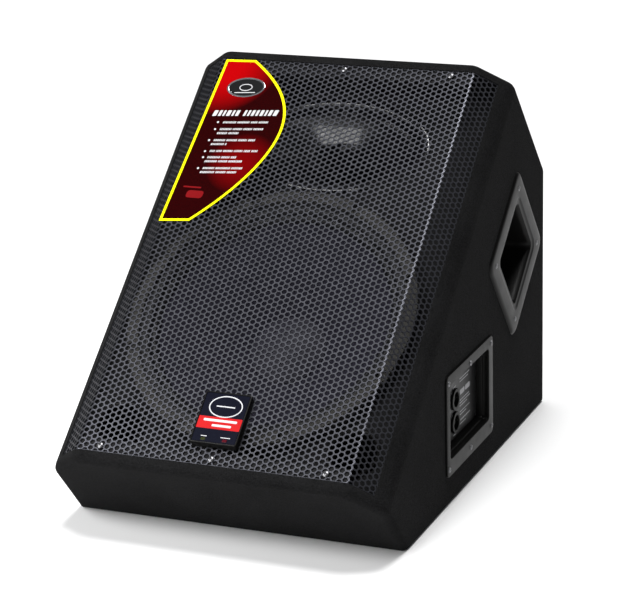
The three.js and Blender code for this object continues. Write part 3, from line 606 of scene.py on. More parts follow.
def tidied(mesh: bpy.types.Mesh, crease: float) -> bpy.types.Mesh:
    """Merges a mesh's doubles, recalculates its normals and smooths all but its creases."""
    work = bmesh.new()
    work.from_mesh(mesh)
    bmesh.ops.remove_doubles(work, verts=work.verts, dist=1e-6)
    bmesh.ops.recalc_face_normals(work, faces=work.faces)
    work.to_mesh(mesh)
    work.free()
    return smoothed(mesh, crease)


def smoothed(mesh: bpy.types.Mesh, crease: float) -> bpy.types.Mesh:
    """Smooths a mesh, but for edges that bend more than crease degrees."""
    mesh.shade_smooth()
    mesh.set_sharp_from_angle(angle=math.radians(crease))
    return mesh


def painted(mesh: bpy.types.Mesh, finish: Finish) -> None:
    """Gives a mesh one finish in place of any other."""
    mesh.materials.clear()
    mesh.materials.append(finish.material())


def trimmed(work: bmesh.types.BMesh, point: Any, normal: Any, **more: float) -> None:
    """Cuts away what lies past a plane."""
    bmesh.ops.bisect_plane(work, geom=[*work.verts, *work.edges, *work.faces], plane_co=point,
                           plane_no=normal, clear_outer=True, **more)


def released(name: str, work: bmesh.types.BMesh) -> bpy.types.Object:
    """Turns a finished bmesh into an object of that name."""
    mesh = bpy.data.meshes.new(name)
    work.to_mesh(mesh)
    work.free()
    return shown(name, mesh)


def shown(name: str, mesh: bpy.types.Mesh) -> bpy.types.Object:
    """Links a new object for a mesh to the scene."""
    made = bpy.data.objects.new(name, mesh)
    bpy.context.scene.collection.objects.link(made)
    return made


def settled(piece: bpy.types.Object) -> bpy.types.Object:
    """Turns what a piece's modifiers give into its plain mesh, and removes them."""
    bpy.context.view_layer.update()
    evaluated = piece.evaluated_get(bpy.context.evaluated_depsgraph_get())
    mesh = bpy.data.meshes.new_from_object(evaluated)
    mesh.name = piece.name
    piece.modifiers.clear()
    piece.data = mesh
    return piece


def carved(piece: bpy.types.Object, tool: bpy.types.Object, operation: str) -> bpy.types.Object:
    """Cuts a piece by a tool, or keeps what they share, and leaves the tool in place."""
    modifier = piece.modifiers.new("carve", "BOOLEAN")
    modifier.object = tool
    modifier.operation = operation
    modifier.solver = "EXACT"
    return settled(piece)


def install(piece: bpy.types.Object, slot: str, *nodes: str,
            body: str = CABINET) -> bpy.types.Object:
    """Makes a piece ride on a body.

    Args:
        piece: The finished piece.
        slot: The record's material slot; not used.
        nodes: The CAD nodes that it stands for.
        body: The body that it rides on.

    Returns:
        The piece.
    """
    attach(piece, body)
    if nodes:
        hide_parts(*nodes)
    log.info("%s on %s: %d faces", piece.name, body, len(piece.data.polygons))
    return piece


# ------------------------------------------------------------------ geometry nodes


class GeometryTree(NodeTree):
    """A Geometry Nodes tree with named inputs, run once on an object and then applied."""

    def __init__(self, name: str) -> None:
        """Starts a tree with a geometry input and output."""
        super().__init__(bpy.data.node_groups.new(name, "GeometryNodeTree"))
        for side in ("INPUT", "OUTPUT"):

            self.tree.interface.new_socket("Geometry", in_out=side, socket_type="NodeSocketGeometry")
        self.start = self.tree.nodes.new("NodeGroupInput")
        self.inputs: dict[str, str] = {}

    def size(self, name: str, default: Any, kind: str = "NodeSocketFloat") -> Any:
        """Adds a named input and returns its socket inside the tree."""
        socket = self.tree.interface.new_socket(name, in_out="INPUT", socket_type=kind)
        if default is not None:
            socket.default_value = default
        self.inputs[name] = socket.identifier
        return self.start.outputs[name]

    def close(self, geometry: Any, finish: Finish) -> None:
        """Ends the tree with real geometry that has one material."""
        real = self.node("GeometryNodeRealizeInstances", {}, {"Geometry": geometry})
        dressed = self.node("GeometryNodeSetMaterial", {}, {
            "Geometry": real.outputs[0], "Material": finish.material()})
        self.node("NodeGroupOutput", {}, {"Geometry": dressed.outputs[0]})

    def run(self, piece: bpy.types.Object, **values: Any) -> bpy.types.Object:
        """Runs the tree on a piece, with spaces in input names written as underscores."""
        modifier = piece.modifiers.new(self.tree.name, "NODES")
        modifier.node_group = self.tree
        for name, value in values.items():
            modifier[self.inputs[name.replace("_", " ")]] = value
        return settled(piece)


def perforation_tree(finish: Finish) -> GeometryTree:
    """Opens a hole in each cell of a flat lattice and gives the sheet its thickness.

    Args:
        finish: The sheet's finish.

    Returns:
        The tree, with inputs Hole Share and Sheet.
    """
    tree = GeometryTree("perforated_sheet")
    share = tree.size("Hole Share", 0.7)
    sheet = tree.size("Sheet", 0.0015)
    inner = tree.node("GeometryNodeExtrudeMesh", {"mode": "FACES"}, {
        "Mesh": tree.start.outputs["Geometry"], "Offset Scale": 0.0, "Individual": True})
    scaled = tree.node("GeometryNodeScaleElements", {"domain": "FACE"}, {
        "Geometry": inner.outputs["Mesh"], "Selection": inner.outputs["Top"], "Scale": share})
    opened = tree.node("GeometryNodeDeleteGeometry", {"domain": "FACE"}, {
        "Geometry": scaled.outputs[0], "Selection": inner.outputs["Top"]})
    back = tree.node("GeometryNodeFlipFaces", {}, {"Mesh": opened.outputs[0]})
    front = tree.node("GeometryNodeExtrudeMesh", {"mode": "FACES"}, {
        "Mesh": opened.outputs[0], "Offset Scale": sheet, "Individual": False})
    both = tree.node("GeometryNodeJoinGeometry", {}, {"Geometry": front.outputs["Mesh"]})
    tree.tree.links.new(back.outputs[0], both.inputs[0])
    whole = tree.node("GeometryNodeMergeByDistance", {}, {
        "Geometry": both.outputs[0], "Distance": 1e-6})
    tree.close(whole.outputs[0], finish)
    return tree


def screw_tree(finish: Finish) -> GeometryTree:
    """Sets a screw's head on each point, turned to the point's own direction."""
    tree = GeometryTree("screw_heads_" + finish.name)
    head = tree.size("Head", None, "NodeSocketObject")
    radius = tree.size("Head Radius", 0.004)
    shape = tree.node("GeometryNodeObjectInfo", {}, {"Object": head})
    towards = tree.node("GeometryNodeInputNamedAttribute", {"data_type": "FLOAT_VECTOR"}, {
        "Name": "outwards"})
    turned = tree.node("FunctionNodeAlignRotationToVector", {"axis": "Z"}, {
        "Vector": towards.outputs[0]})
    heads = tree.node("GeometryNodeInstanceOnPoints", {}, {
        "Points": tree.start.outputs["Geometry"], "Instance": shape.outputs["Geometry"],
        "Rotation": turned.outputs[0], "Scale": radius})
    tree.close(heads.outputs[0], finish)
    return tree


@dataclass
class Screws:
    """Rows of pan-head screws with a cross recess."""

    dome: float = 0.5
    slot_width: float = 0.2
    slot_reach: float = 0.55
    slot_depth: float = 0.34
    sides: int = 20
    crease: float = 28.0

    def head(self) -> bpy.types.Object:
        """A screw's head of radius 1 on the origin, made once."""
        known = bpy.data.objects.get("screw_head_form")
        if known:
            return known
        profile = [(0.999, 0.0), (1.0, 0.14), (0.93, 0.3), (0.72, self.dome * 0.86),
                   (0.4, self.dome)]
        head = Body().lathe(profile, self.sides, False).piece("screw_head_form", Matrix(), [SCREW])
        reach, half, low = self.slot_reach, self.slot_width / 2, self.dome - self.slot_depth
        for width, height in ((reach, half), (half, reach)):
            ring = oblong(-width, -height, width, height)
            tool = Body().loft([at_height(ring, low), at_height(ring, 1.0)]).piece(
                "screw_slot_tool", Matrix(), [SCREW])
            carved(head, tool, "DIFFERENCE")
            bpy.data.objects.remove(tool)
        bpy.context.scene.collection.objects.unlink(head)
        return head

    def row(self, name: str, place: Matrix, points: Sequence[Triple], radius: float,
            finish: Finish) -> bpy.types.Object:
        """Makes one piece of several screws.

        Args:
            name: The piece's name.
            place: Carries the points to the row frame; the heads face its outward axis.
            points: Where the undersides of the heads are, in millimetres.
            radius: A head's radius, in millimetres.
            finish: The screws' finish.

        Returns:
            The piece.
        """
        mesh = bpy.data.meshes.new(name)
        mesh.from_pydata([place @ Vector(p) for p in points], [], [])
        outwards = (place.to_3x3() @ Vector((0, 0, 1))).normalized()
        attribute = mesh.attributes.new("outwards", "FLOAT_VECTOR", "POINT")
        for value in attribute.data:
            value.vector = outwards
        piece = shown(name, mesh)
        screw_tree(finish).run(piece, Head=self.head(), Head_Radius=radius * MM)
        smoothed(piece.data, self.crease)
        return piece


# ------------------------------------------------------------------ studio


@dataclass
class Studio:
    """The camera, a white floor and soft overhead light."""

    target: Triple = (-0.00325, 0.03757, 0.21915)
    azimuth: float = 22.64
    elevation: float = 17.5
    roll: float = -1.53
    distance: float = 3.1973
    lens: float = 135.97
    sensor: float = 36.0
    floor_size: float = 60.0
    floor_white: float = 0.84
    floor_gap: float = 0.0005
    sky: float = 0.12
    key: float = 3.6
    key_spread: float = 24.0
    key_direction: Triple = (0.03, 0.1, 0.99)
    softboxes: tuple[tuple[str, Triple, float], ...] = (
        ("front", (-0.6, -2.2, 0.55), 24.0), ("upper_front", (-0.9, -1.3, 1.6), 38.0))
    softbox_size: Pair = (1.3, 0.7)

    def build(self) -> None:
        """Sets up the camera, floor and lights."""
        self.camera()
        self.floor()
        self.light()

    def camera(self) -> None:
        """Places the camera."""
        a, e = math.radians(self.azimuth), math.radians(self.elevation)
        back = Vector((math.sin(a) * math.cos(e), -math.cos(a) * math.cos(e), math.sin(e)))
        right = Vector((0, 0, 1)).cross(back).normalized()
        data = bpy.data.cameras.new("camera")
        data.lens, data.sensor_width, data.sensor_fit = self.lens, self.sensor, "HORIZONTAL"
        camera = shown("camera", data)
        turn = Matrix((right, back.cross(right), back)).transposed().to_4x4()
        place = Matrix.Translation(Vector(self.target) + back * self.distance)
        camera.matrix_world = place @ turn @ Matrix.Rotation(math.radians(self.roll), 4, "Z")
        bpy.context.scene.camera = camera

    def floor(self) -> None:
        """Lays the pale floor."""
        half = self.floor_size / 2
        mesh = bpy.data.meshes.new("studio_floor")
        mesh.from_pydata(oblong(-half, -half, half, half), [], [(0, 1, 2, 3)])
        shader = Shader("studio_floor_white")
        shader.set(Base_Color=(*[self.floor_white] * 3, 1.0), Roughness=0.9, Specular_IOR_Level=0.1)
        mesh.materials.append(shader.material)
        floor = shown("studio_floor", mesh)
        floor.location.z = -self.floor_gap

    def light(self) -> None:
        """Lights the studio from overhead, with a soft light low in front."""
        world = bpy.data.worlds.new("studio")
        world.use_nodes = True
        sky = world.node_tree.nodes["Background"]
        sky.inputs["Color"].default_value = (0.97, 0.98, 1.0, 1.0)
        sky.inputs["Strength"].default_value = self.sky
        bpy.context.scene.world = world
        key = bpy.data.lights.new("key", "SUN")
        key.energy, key.angle = self.key, math.radians(self.key_spread)
        self.aim(shown("key", key), Vector(), Vector(self.key_direction))
        for name, place, power in self.softboxes:
            soft = bpy.data.lights.new(name, "AREA")
            soft.shape, soft.energy = "RECTANGLE", power
            soft.size, soft.size_y = self.softbox_size
            lamp = shown(name, soft)
            lamp.visible_camera = False
            self.aim(lamp, Vector(place), Vector(place) - Vector(self.target))
        bpy.context.scene.view_settings.view_transform = "Standard"

    @staticmethod
    def aim(lamp: bpy.types.Object, place: Vector, backwards: Vector) -> None:
        """Puts a lamp at a place, shining away from a direction."""
        turn = backwards.to_track_quat("Z", "Y").to_matrix().to_4x4()
        lamp.matrix_world = Matrix.Translation(place) @ turn


# ------------------------------------------------------------------ cabinet


@dataclass
class Cabinet:
    """The carpeted shell and the boards under it."""

    chamfer_width: float = 44.0
    chamfer_depth: float = 38.0
    face_length: float = 661.0
    wall: float = 16.0
    carpet: float = 1.2
    edge: float = 4.2
    corner: float = 12.5
    shoulder: float = 10.0
    handle_opening: float = 114.0
    handle_turn: float = 39.4
    dish_opening: Pair = (157.0, 100.0)
    dish_offset: Pair = (2.5, -4.0)
    board_gap: float = 1.45
    skin_gap: float = 3.0
    carpet_crease: float = 40.0
    board_crease: float = 30.0
    flush: float = 0.999

    def build(self) -> None:
        """Builds the carpet and trims the boards to it."""
        form = self.form()
        self.build_carpet(form)
        self.trim_boards(form)
        bpy.data.objects.remove(form)

    def form(self) -> bpy.types.Object:
        """The cabinet's closed outer form with its edges rounded."""
        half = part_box("carpet_right")[1].x
        outline = [furthest("carpet_floor", (0, -1, -3)), furthest("carpet_floor", (0, 1, -3)),
                   furthest("carpet_rear", (0, 3, 1)), furthest("carpet_top", (0, 0, 1)),
                   FACE.origin]
        work = bmesh.new()
        ends = [[work.verts.new((x, p.y, p.z)) for p in outline] for x in (-half, half)]
        work.faces.new(ends[0])
        work.faces.new(list(reversed(ends[1])))
        for i in range(5):
            k = (i + 1) % 5
            work.faces.new((ends[0][i], ends[1][i], ends[1][k], ends[0][k]))
        slopes = []
        for sign in (-1, 1):
            start = FACE.matrix() @ Vector((sign * (half / MM - self.chamfer_width), 0, 0))
            normal = FACE.across * sign * self.chamfer_depth + FACE.out * self.chamfer_width
            normal.normalize()
            slopes.append(normal)
            trimmed(work, start, normal)
            open_edges = [e for e in work.edges if e.is_boundary]
            bmesh.ops.holes_fill(work, edges=open_edges, sides=0)
        bmesh.ops.recalc_face_normals(work, faces=work.faces)
        weights = work.edges.layers.float.new("bevel_weight_edge")
        for edge in work.edges:
            normals = [f.normal for f in edge.link_faces]
            slope = any(n.dot(s) > self.flush for n in normals for s in slopes)
            face = any(n.dot(FACE.out) > self.flush for n in normals)
            hidden = any(n.z < -self.flush or n.y > 0.9 for n in normals)
            size = self.edge if hidden else self.corner if slope and not face else self.shoulder
            edge[weights] = size / self.corner
        form = released("cabinet_form", work)
        bevel = form.modifiers.new("ease", "BEVEL")
        bevel.limit_method, bevel.width, bevel.segments = "WEIGHT", self.corner * MM, 5
        return settled(form)

    def openings(self) -> bpy.types.Object:
        """Closed tools for the openings of the grille, the handles and the dish."""
        tools = Body()
        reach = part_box("carpet_right")[1].x / MM - self.wall
        low, high = self.wall, self.face_length - self.wall
        parts = [(FACE.matrix(), oblong(-reach, low, reach, high), -60.0, 20.0)]
        for name, sign in (("right", 1), ("left", -1)):
            side = side_place(sign)
            x, y, _ = side.local(middle(f"handle_{name}"))
            ring = rounded(self.handle_opening, self.handle_opening, 16)
            parts.append((side.matrix(x, y, 0, sign * self.handle_turn), ring, -40.0, 20.0))
        side = side_place(1)
        x, y, _ = side.local(middle("input_dish"))
        parts.append((side.matrix(x - self.dish_offset[0], y - self.dish_offset[1]),
                      rounded(*self.dish_opening, 6), -40.0, 20.0))
        for place, ring, low, high in parts:
            tools.loft([[tuple(place @ Vector((p[0], p[1], z))) for p in ring]
                        for z in (low, high)])
        return tools.piece("opening_tools", Matrix(), [BOARD])

    def build_carpet(self, form: bpy.types.Object) -> None:
        """Wraps the form in carpet, open where the grille, handles and dish are."""
        wrap = shown("carpet_wrap", form.data.copy())
        skin = BVHTree.FromObject(form, bpy.context.evaluated_depsgraph_get())
        tools = self.openings()
        carved(wrap, tools, "DIFFERENCE")
        bpy.data.objects.remove(tools)
        work = bmesh.new()
        work.from_mesh(wrap.data)
        inside = [f for f in work.faces
                  if skin.find_nearest(f.calc_center_median())[3] > self.skin_gap * MM]
        bmesh.ops.delete(work, geom=inside, context="FACES")
        work.to_mesh(wrap.data)
        work.free()
        painted(wrap.data, CARPET)
        solid = wrap.modifiers.new("thickness", "SOLIDIFY")
        solid.thickness, solid.offset, solid.use_even_offset = self.carpet * MM, -1.0, True
        settled(wrap)
        smoothed(wrap.data, self.carpet_crease)
        weigh = wrap.modifiers.new("shading", "WEIGHTED_NORMAL")
        weigh.keep_sharp = True
        settled(wrap)
        skins = ("left", "right", "floor", "rear", "top", "kick")
        install(wrap, "carpet", *[f"carpet_{skin}" for skin in skins])

    def trim_boards(self, form: bpy.types.Object) -> None:
        """Rounds the boards that reach the cabinet's rounded corners."""
        inner = shown("board_form", form.data.copy())
        normals = [v.normal.copy() for v in inner.data.vertices]
        for vertex, normal in zip(inner.data.vertices, normals):
            vertex.co -= normal * self.board_gap * MM
        for node in ("side_panel_left", "side_panel_right", "kick_panel", "top_panel"):
            board = shown(node.replace("panel", "board"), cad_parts[node].data.copy())
            tidied(board.data, self.board_crease)
            carved(board, inner, "INTERSECT")
            painted(board.data, BOARD)
            install(board, "plywood", node)
        bpy.data.objects.remove(inner)


# ------------------------------------------------------------------ grille, badge and card


@dataclass
class Grille:
    """The folded, hexagonally perforated sheet and its screws."""

    pitch: float = 8.24
    hole_share: float = 0.775
    sheet: float = 1.5
    inset: float = 1.0
    low: float = 16.8
    high: float = 644.2
    chamfer_start: float = 183.5
    chamfer_slope: float = 40.8
    reach: float = 211.0
    return_depth: float = 11.0
    screw_spread: float = 152.0
    screw_heights: Pair = (24.8, 636.5)
    under_card: float = -3.1
    near: float = 0.01

    def build(self) -> None:
        """Builds the sheet, its returns and its screws."""
        lattice = self.lattice()
        tree = perforation_tree(GRILLE_PAINT)
        tree.run(lattice, Hole_Share=self.hole_share, Sheet=self.sheet * MM)
        install(lattice, "grille_steel", "grille")
        self.build_returns()
        points = [(x * self.screw_spread, y, -self.inset + 0.3)
                  for y in self.screw_heights for x in (-1, 0, 1)]
        points[3] = (*points[3][:2], self.under_card)
        screws = Screws().row("grille_screws", FACE.matrix(), points, 4.4, SCREW)
        install(screws, "screw_steel", *[f"grille_screw_{i}" for i in range(1, 7)])

    def lattice(self) -> bpy.types.Object:
        """The back of the sheet as one hexagon for each hole, folded at its two bends."""
        back = self.inset + self.sheet
        slope = math.radians(self.chamfer_slope)
        fold = self.chamfer_start - back * math.tan(slope / 2)
        half = fold + (self.reach - fold) / math.cos(slope)
        column = self.pitch * math.sqrt(3) / 2
        radius = self.pitch / math.sqrt(3)
        work = bmesh.new()
        for i in range(-int(half / column) - 1, int(half / column) + 2):
            for j in range(int(self.low / self.pitch) - 1, int(self.high / self.pitch) + 2):
                x, y = i * column, (j + 0.5 * (i % 2)) * self.pitch
                corners = [(x + radius * math.cos(turn), y + radius * math.sin(turn), 0)
                           for turn in (k * math.pi / 3 for k in range(6))]
                work.faces.new([work.verts.new(c) for c in corners])
        bmesh.ops.remove_doubles(work, verts=work.verts, dist=self.near)
        edges = [((half, 0, 0), (1, 0, 0)), ((-half, 0, 0), (-1, 0, 0)),
                 ((0, self.high, 0), (0, 1, 0)), ((0, self.low, 0), (0, -1, 0))]
        for point, normal in edges:
            trimmed(work, point, normal, dist=self.near)
        place = FACE.matrix()
        for vertex in work.verts:
            x, y, _ = vertex.co
            past = max(0.0, abs(x) - fold)
            folded = Vector((math.copysign(abs(x) - past * (1 - math.cos(slope)), x), y,
                             -back - past * math.sin(slope)))
            vertex.co = place @ folded
        return released("grille_sheet", work)

    def build_returns(self) -> None:
        """Builds the narrow flanges that turn back along the side boards."""
        body = Body()
        depth = (self.reach - self.chamfer_start) * math.tan(math.radians(self.chamfer_slope))
        for sign in (-1, 1):
            outer, inner = sign * self.reach, sign * (self.reach - self.sheet)
            low, high = -depth - self.return_depth, -depth - 3.2
            ring = oblong(outer, self.low, inner, self.high)
            body.loft([at_height(ring, low), at_height(ring, high)])
        install(body.piece("grille_returns", FACE.matrix(), [GRILLE_PAINT]), "grille_steel")


@dataclass
class Badge:
    """The small lit badge with a plain emblem."""

    width: float = 63.0
    height: float = 74.0
    proud: float = 10.0
    rim: float = 2.0
    band: Pair = (-16.0, 1.0)
    ring: Pair = (22.5, 15.5)
    window_side: float = 14.5
    window_down: float = -31.0
    ring_middle: Pair = (1.5, 16.5)
    ring_stroke: float = 1.5
    print_height: float = 0.14
    bars: tuple[tuple[float, float, float, float], ...] = (
        (-22, -5.6, 45, 3.4), (-9, -12.6, 26, 3.2), (-18.5, -27.4, 8, 1.0), (8, -27.4, 13, 1.0))

    def build(self) -> None:
        """Builds the bezel, face, print and lights."""
        x, y, _ = FACE.local(middle("badge_face"))
        place = FACE.matrix(x, y)
        inner = (self.width - 2 * self.rim, self.height - 2 * self.rim)
        bezel = Body().loft([
            rounded(self.width, self.height, 3, -0.6),
            rounded(self.width, self.height, 3, self.proud - 1.0),
            rounded(self.width - 0.7, self.height - 0.7, 2.7, self.proud - 0.25),
            rounded(self.width - 1.8, self.height - 1.8, 2.4, self.proud),
            rounded(inner[0] + 0.6, inner[1] + 0.6, 1.9, self.proud),
            rounded(*inner, 1.6, self.proud - 0.4), rounded(*inner, 1.6, 7.6)])
        bezel.lathe([(6.0, -9.0), (6.0, -0.5)], 32, tube=False)
        install(bezel.piece("badge_bezel", place, [MOULDED]), "moulded_plastic", "badge_housing")
        face = Body().slab(rounded(inner[0] - 0.6, inner[1] - 0.6, 1.4), 7.7, self.proud - 0.4)
        install(face.piece("badge_plate", place, [BADGE_INK]), "gloss_plastic", "badge_face")
        self.build_print(place, inner[0])
        for name, sign, finish in (("left", -1, OLIVE_LENS), ("right", 1, RED_LENS)):
            ring = moved(rounded(6.2, 4.0, 0.8, steps=3), sign * self.window_side, self.window_down)
            lens = Body().slab(ring, self.proud - 0.5, self.proud + 0.1, 0.25)
            install(lens.piece(f"badge_lens_{name}", place, [finish]),
                    "light_olive" if sign < 0 else "light_red", f"badge_light_{name}")

    def build_print(self, place: Matrix, width: float) -> None:
        """Builds the red band, a plain oval and a few plain bars."""
        ink = Body()
        level = self.proud - 0.42
        low, high = self.band
        ink.bar(-width / 2 + 0.4, low, width - 0.8, high - low, level, level + 0.1, 0, 0.0, 0.03)
        top = level + self.print_height
        inner = (self.ring[0] - self.ring_stroke, self.ring[1] - self.ring_stroke)
        ink.loft([moved(ellipse(*size, z, 48), *self.ring_middle)
                  for size, z in ((self.ring, level), (self.ring, top), (inner, top),
                  (inner, level))],
                 True, 1)
        ink.bar(-11, 15.7, 25, 1.6, level, top, 1)
        for x, y, wide, tall in self.bars:
            ink.bar(x, y, wide, tall, level, level + 0.16, 1)
        install(ink.piece("badge_print", place, [RED_INK, WHITE_INK]), "gloss_plastic")


@dataclass
class FeatureCard:
    """The printed card on the grille, with plain bars in place of words."""

    corners: tuple[Pair, ...] = ((-187, 367), (-144, 371))
    last: Pair = (-176, 642)
    curves: tuple[tuple[Pair, ...], ...] = (
        ((-144, 371), (-104, 412), (-58, 475), (-58.5, 532)),
        ((-58.5, 532), (-59, 580), (-92, 614), (-132, 643.5)))
    seat: float = -0.7
    thickness: float = 0.4
    border: float = 3.6
    oval_middle: Pair = (-132.5, 595.8)
    oval: Pair = (27.5, 16.8)
    rise: float = 4.5
    slant: float = 0.25
    seed: int = 7
    rows: tuple[tuple[float, float, float, float], ...] = (
        (-166, 549, 94, 9.6), (-147, 534.6, 66, 3.3), (-148, 523.0, 62, 3.3),
        (-150, 516.0, 34, 3.3),
        (-151, 504.0, 60, 3.3), (-153, 497.2, 22, 3.3), (-151, 485.8, 69, 3.3),
        (-151, 475.2, 42, 3.3),
        (-153, 468.4, 53, 3.3), (-152, 457.0, 58, 3.3), (-154, 450.2, 53, 3.3))
    bullets: tuple[Pair, ...] = ((-154.6, 534.4), (-155.1, 522.4), (-157.9, 503.5), (-157.8, 484.9),
                                 (-157.4, 474.8), (-158.8, 456.3))

    def outline(self) -> Ring:
        """The card's outline, anticlockwise."""
        ring = [(*self.corners[0], 0.0), (*self.corners[1], 0.0)]
        for a, b, c, d in self.curves:
            for i in range(1, 19):
                t = i / 18
                shares = ((1 - t) ** 3, 3 * t * (1 - t) ** 2, 3 * t * t * (1 - t), t ** 3)
                ring.append((sum(s * p[0] for s, p in zip(shares, (a, b, c, d))),
                             sum(s * p[1] for s, p in zip(shares, (a, b, c, d))), 0.0))
        return [*ring, (*self.last, 0.0)]

    def build(self) -> None:
        """Builds the card, its border, its bars and its oval."""
        outline = self.outline()
        top = self.seat + self.thickness
        sheet = Body().slab(outline, self.seat, top, 0.1)
        install(sheet.piece("card_sheet", FACE.matrix(), [CARD]), "card_print", "feature_card")
        inner = drawn_in(outline, self.border)
        edge = Body().loft([at_height(outline, top - 0.05), at_height(outline, top + 0.07),
                            at_height(inner, top + 0.07), at_height(inner, top - 0.05)], True)
        install(edge.piece("card_border", FACE.matrix(), [YELLOW_INK]), "card_print")
        self.build_bars(top)
        self.build_oval(top)

    def build_bars(self, top: float) -> None:
        """Builds the bars that stand for the card's lines of print, in rows that rise a little."""
        chance = random.Random(self.seed)
        ink = Body()
        for x, y, length, tall in self.rows:
            row = Body()
            along, left = 0.0, chance.randint(3, 8)
            while along < length - tall * 0.4:
                stroke = chance.uniform(0.3, 0.62) * tall
                row.bar(along, -tall / 2, stroke, tall, top - 0.02, top + 0.07, 0, self.slant, 0.16)
                along += stroke + tall * (0.24 if left else 0.7)
                left = left - 1 if left else chance.randint(3, 8)
            turn = Matrix.Rotation(math.radians(self.rise), 4, "Z")
            ink.add(row, Matrix.Translation((x, y, 0)) @ turn)
        for x, y in self.bullets:
            ink.loft([moved(ellipse(1.6, 1.6, z, 12), x, y) for z in (top - 0.02, top + 0.07)])
        ink.bar(-162, 408, 24, 12, top - 0.02, top + 0.03, 1, 0.1)
        ink.bar(-170, 424, 26, 2.4, top - 0.02, top + 0.03, 1, 0.1)
        install(ink.piece("card_print", FACE.matrix(), [WHITE_INK, DARK_RED_INK]), "card_print")

    def build_oval(self, top: float) -> None:
        """Builds the card's bright-rimmed oval."""
        place = FACE.matrix(*self.oval_middle, turn=self.rise)
        width, height = self.oval
        oval = Body()
        oval.loft([ellipse(width, height, top - 0.05), ellipse(width, height, top + 0.25),
                   ellipse(width - 0.9, height - 0.9, top + 0.5),
                   ellipse(width - 2.6, height - 2.4, top + 0.12),
                   ellipse(width - 2.6, height - 2.4, top - 0.05)], True, 0)
        oval.loft([ellipse(width - 2.5, height - 2.3, top - 0.05),
                   ellipse(width - 2.5, height - 2.3, top + 0.12)], False, 1)
        oval.loft([ellipse(9.5, 6.0, top + 0.1, 40), ellipse(9.5, 6.0, top + 0.2, 40),
                   ellipse(8.3, 4.8, top + 0.2, 40), ellipse(8.3, 4.8, top + 0.1, 40)], True, 2)
        oval.bar(-15, -9.6, 30, 1.3, top + 0.1, top + 0.2, 2)
        install(oval.piece("card_oval", place, [CHROME, OVAL_INK, WHITE_INK]), "card_print")


# ------------------------------------------------------------------ drivers


def between(low: float, high: float, count: int) -> list[float]:
    """Evenly spaced values from low to high."""
    return [low + (high - low) * i / count for i in range(count + 1)]


def sheet_of(line: Sequence[Pair], thickness: float) -> list[Pair]:
    """The closed profile of a turned sheet of even thickness behind a line."""
    return [*line, *[(r, z - thickness) for r, z in reversed(line)]]


@dataclass
class Woofer:
    """The fifteen-inch driver: cone, dust cap, surround, spider and mounting bolts."""

    cone_radius: float = 155.0
    coil_radius: float = 38.0
    cap_radius: float = 51.2
    cone_edge: float = -46.0
    cone_neck: float = -125.0
    flange_top: float = -34.5
    spider_height: float = -133.6
    rib: float = 0.5
    rib_pitch: float = 7.2
    ribbed: Pair = (62.0, 148.0)
    bolts: int = 8
    bolt_circle: float = 186.5

    def cone_height(self, radius: float) -> float:
        """Height of the cone's front at a radius."""
        share = (self.cone_radius - radius) / (self.cone_radius - self.coil_radius)
        drop = 0.86 * share + 0.14 * share * share
        return self.cone_edge + (self.cone_neck - self.cone_edge) * drop

    def build(self) -> None:
        """Builds the driver's visible pieces."""
        _, up, _ = FACE.local(middle("woofer_top_plate"))
        place = FACE.matrix(0, up)
        line = []
        for radius in between(self.coil_radius + 0.4, self.cone_radius, 78):
            wave = 0.0
            if self.ribbed[0] < radius < self.ribbed[1]:
                turn = (radius - self.ribbed[0]) / self.rib_pitch * math.tau
                wave = self.rib * (0.5 - 0.5 * math.cos(turn))
            line.append((radius, self.cone_height(radius) - wave))
        cone = Body().lathe(sheet_of(line, 1.2), 120)
        install(cone.piece("ribbed_cone", place, [PAPER]), "paper_cone", "woofer_cone",
                body=WOOFER_BODY)
        base = self.cone_height(self.cap_radius) + 1.4
        dome = [(max(r, 0.02), base + 18 * (1 - (r / self.cap_radius) ** 2))
                for r in between(0, self.cap_radius, 20)]
        cap = Body().lathe(sheet_of(dome, 0.9), 96)
        install(cap.piece("dust_cap_dome", place, [CAP_PAPER]), "paper_cone", "woofer_dust_cap",
                body=WOOFER_BODY)
        self.build_suspension(place)
        points = []
        for i in range(self.bolts):
            angle = (i + 0.5) / self.bolts * math.tau
            points.append((self.bolt_circle * math.cos(angle), self.bolt_circle * math.sin(angle),
                           self.flange_top))
        install(Screws().row("woofer_bolts", place, points, 5.2, BLACK_SCREW), "screw_steel")

    def build_suspension(self, place: Matrix) -> None:
        """Builds the surround and the spider, which span between the cabinet and the cone."""
        inner, outer = self.cone_radius + 0.3, 171.5
        low, high = self.cone_edge + 0.6, self.flange_top + 1.1
        roll = []
        for radius in between(inner, outer, 32):
            share = (radius - inner) / (outer - inner)
            bulge = 3.0 * abs(math.sin(share * math.tau)) ** 0.8
            roll.append((radius, low + share * (high - low) + bulge))
        roll.append((184.0, high))
        surround = Body().lathe(sheet_of(roll, 0.7), 120).piece(
            "double_roll_surround", place, [DOPED])
        self.bend(surround, place, high - 0.7, low, "woofer_surround")
        start, end, level = self.coil_radius + 0.6, 96.0, self.spider_height
        steps = []
        for radius in between(start, end, 48):
            share = (end - radius) / (end - start)
            stairs = share - math.sin(share * 7 * math.tau) / (7 * math.tau)
            steps.append((radius, level + 5.4 * stairs))
        spider = Body().lathe(sheet_of(steps, 0.5), 72).piece("corrugated_spider", place, [DOPED])
        self.bend(spider, place, level, level + 4.9, "woofer_spider")

    @staticmethod
    def bend(piece: bpy.types.Object, place: Matrix, still: float, moving: float,
             node: str) -> None:
        """Bakes a piece's placing into its mesh and hides the CAD node that it stands for."""
        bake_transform(piece)
        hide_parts(node)
        log.info("%s bends with the cone: %d faces", piece.name, len(piece.data.polygons))


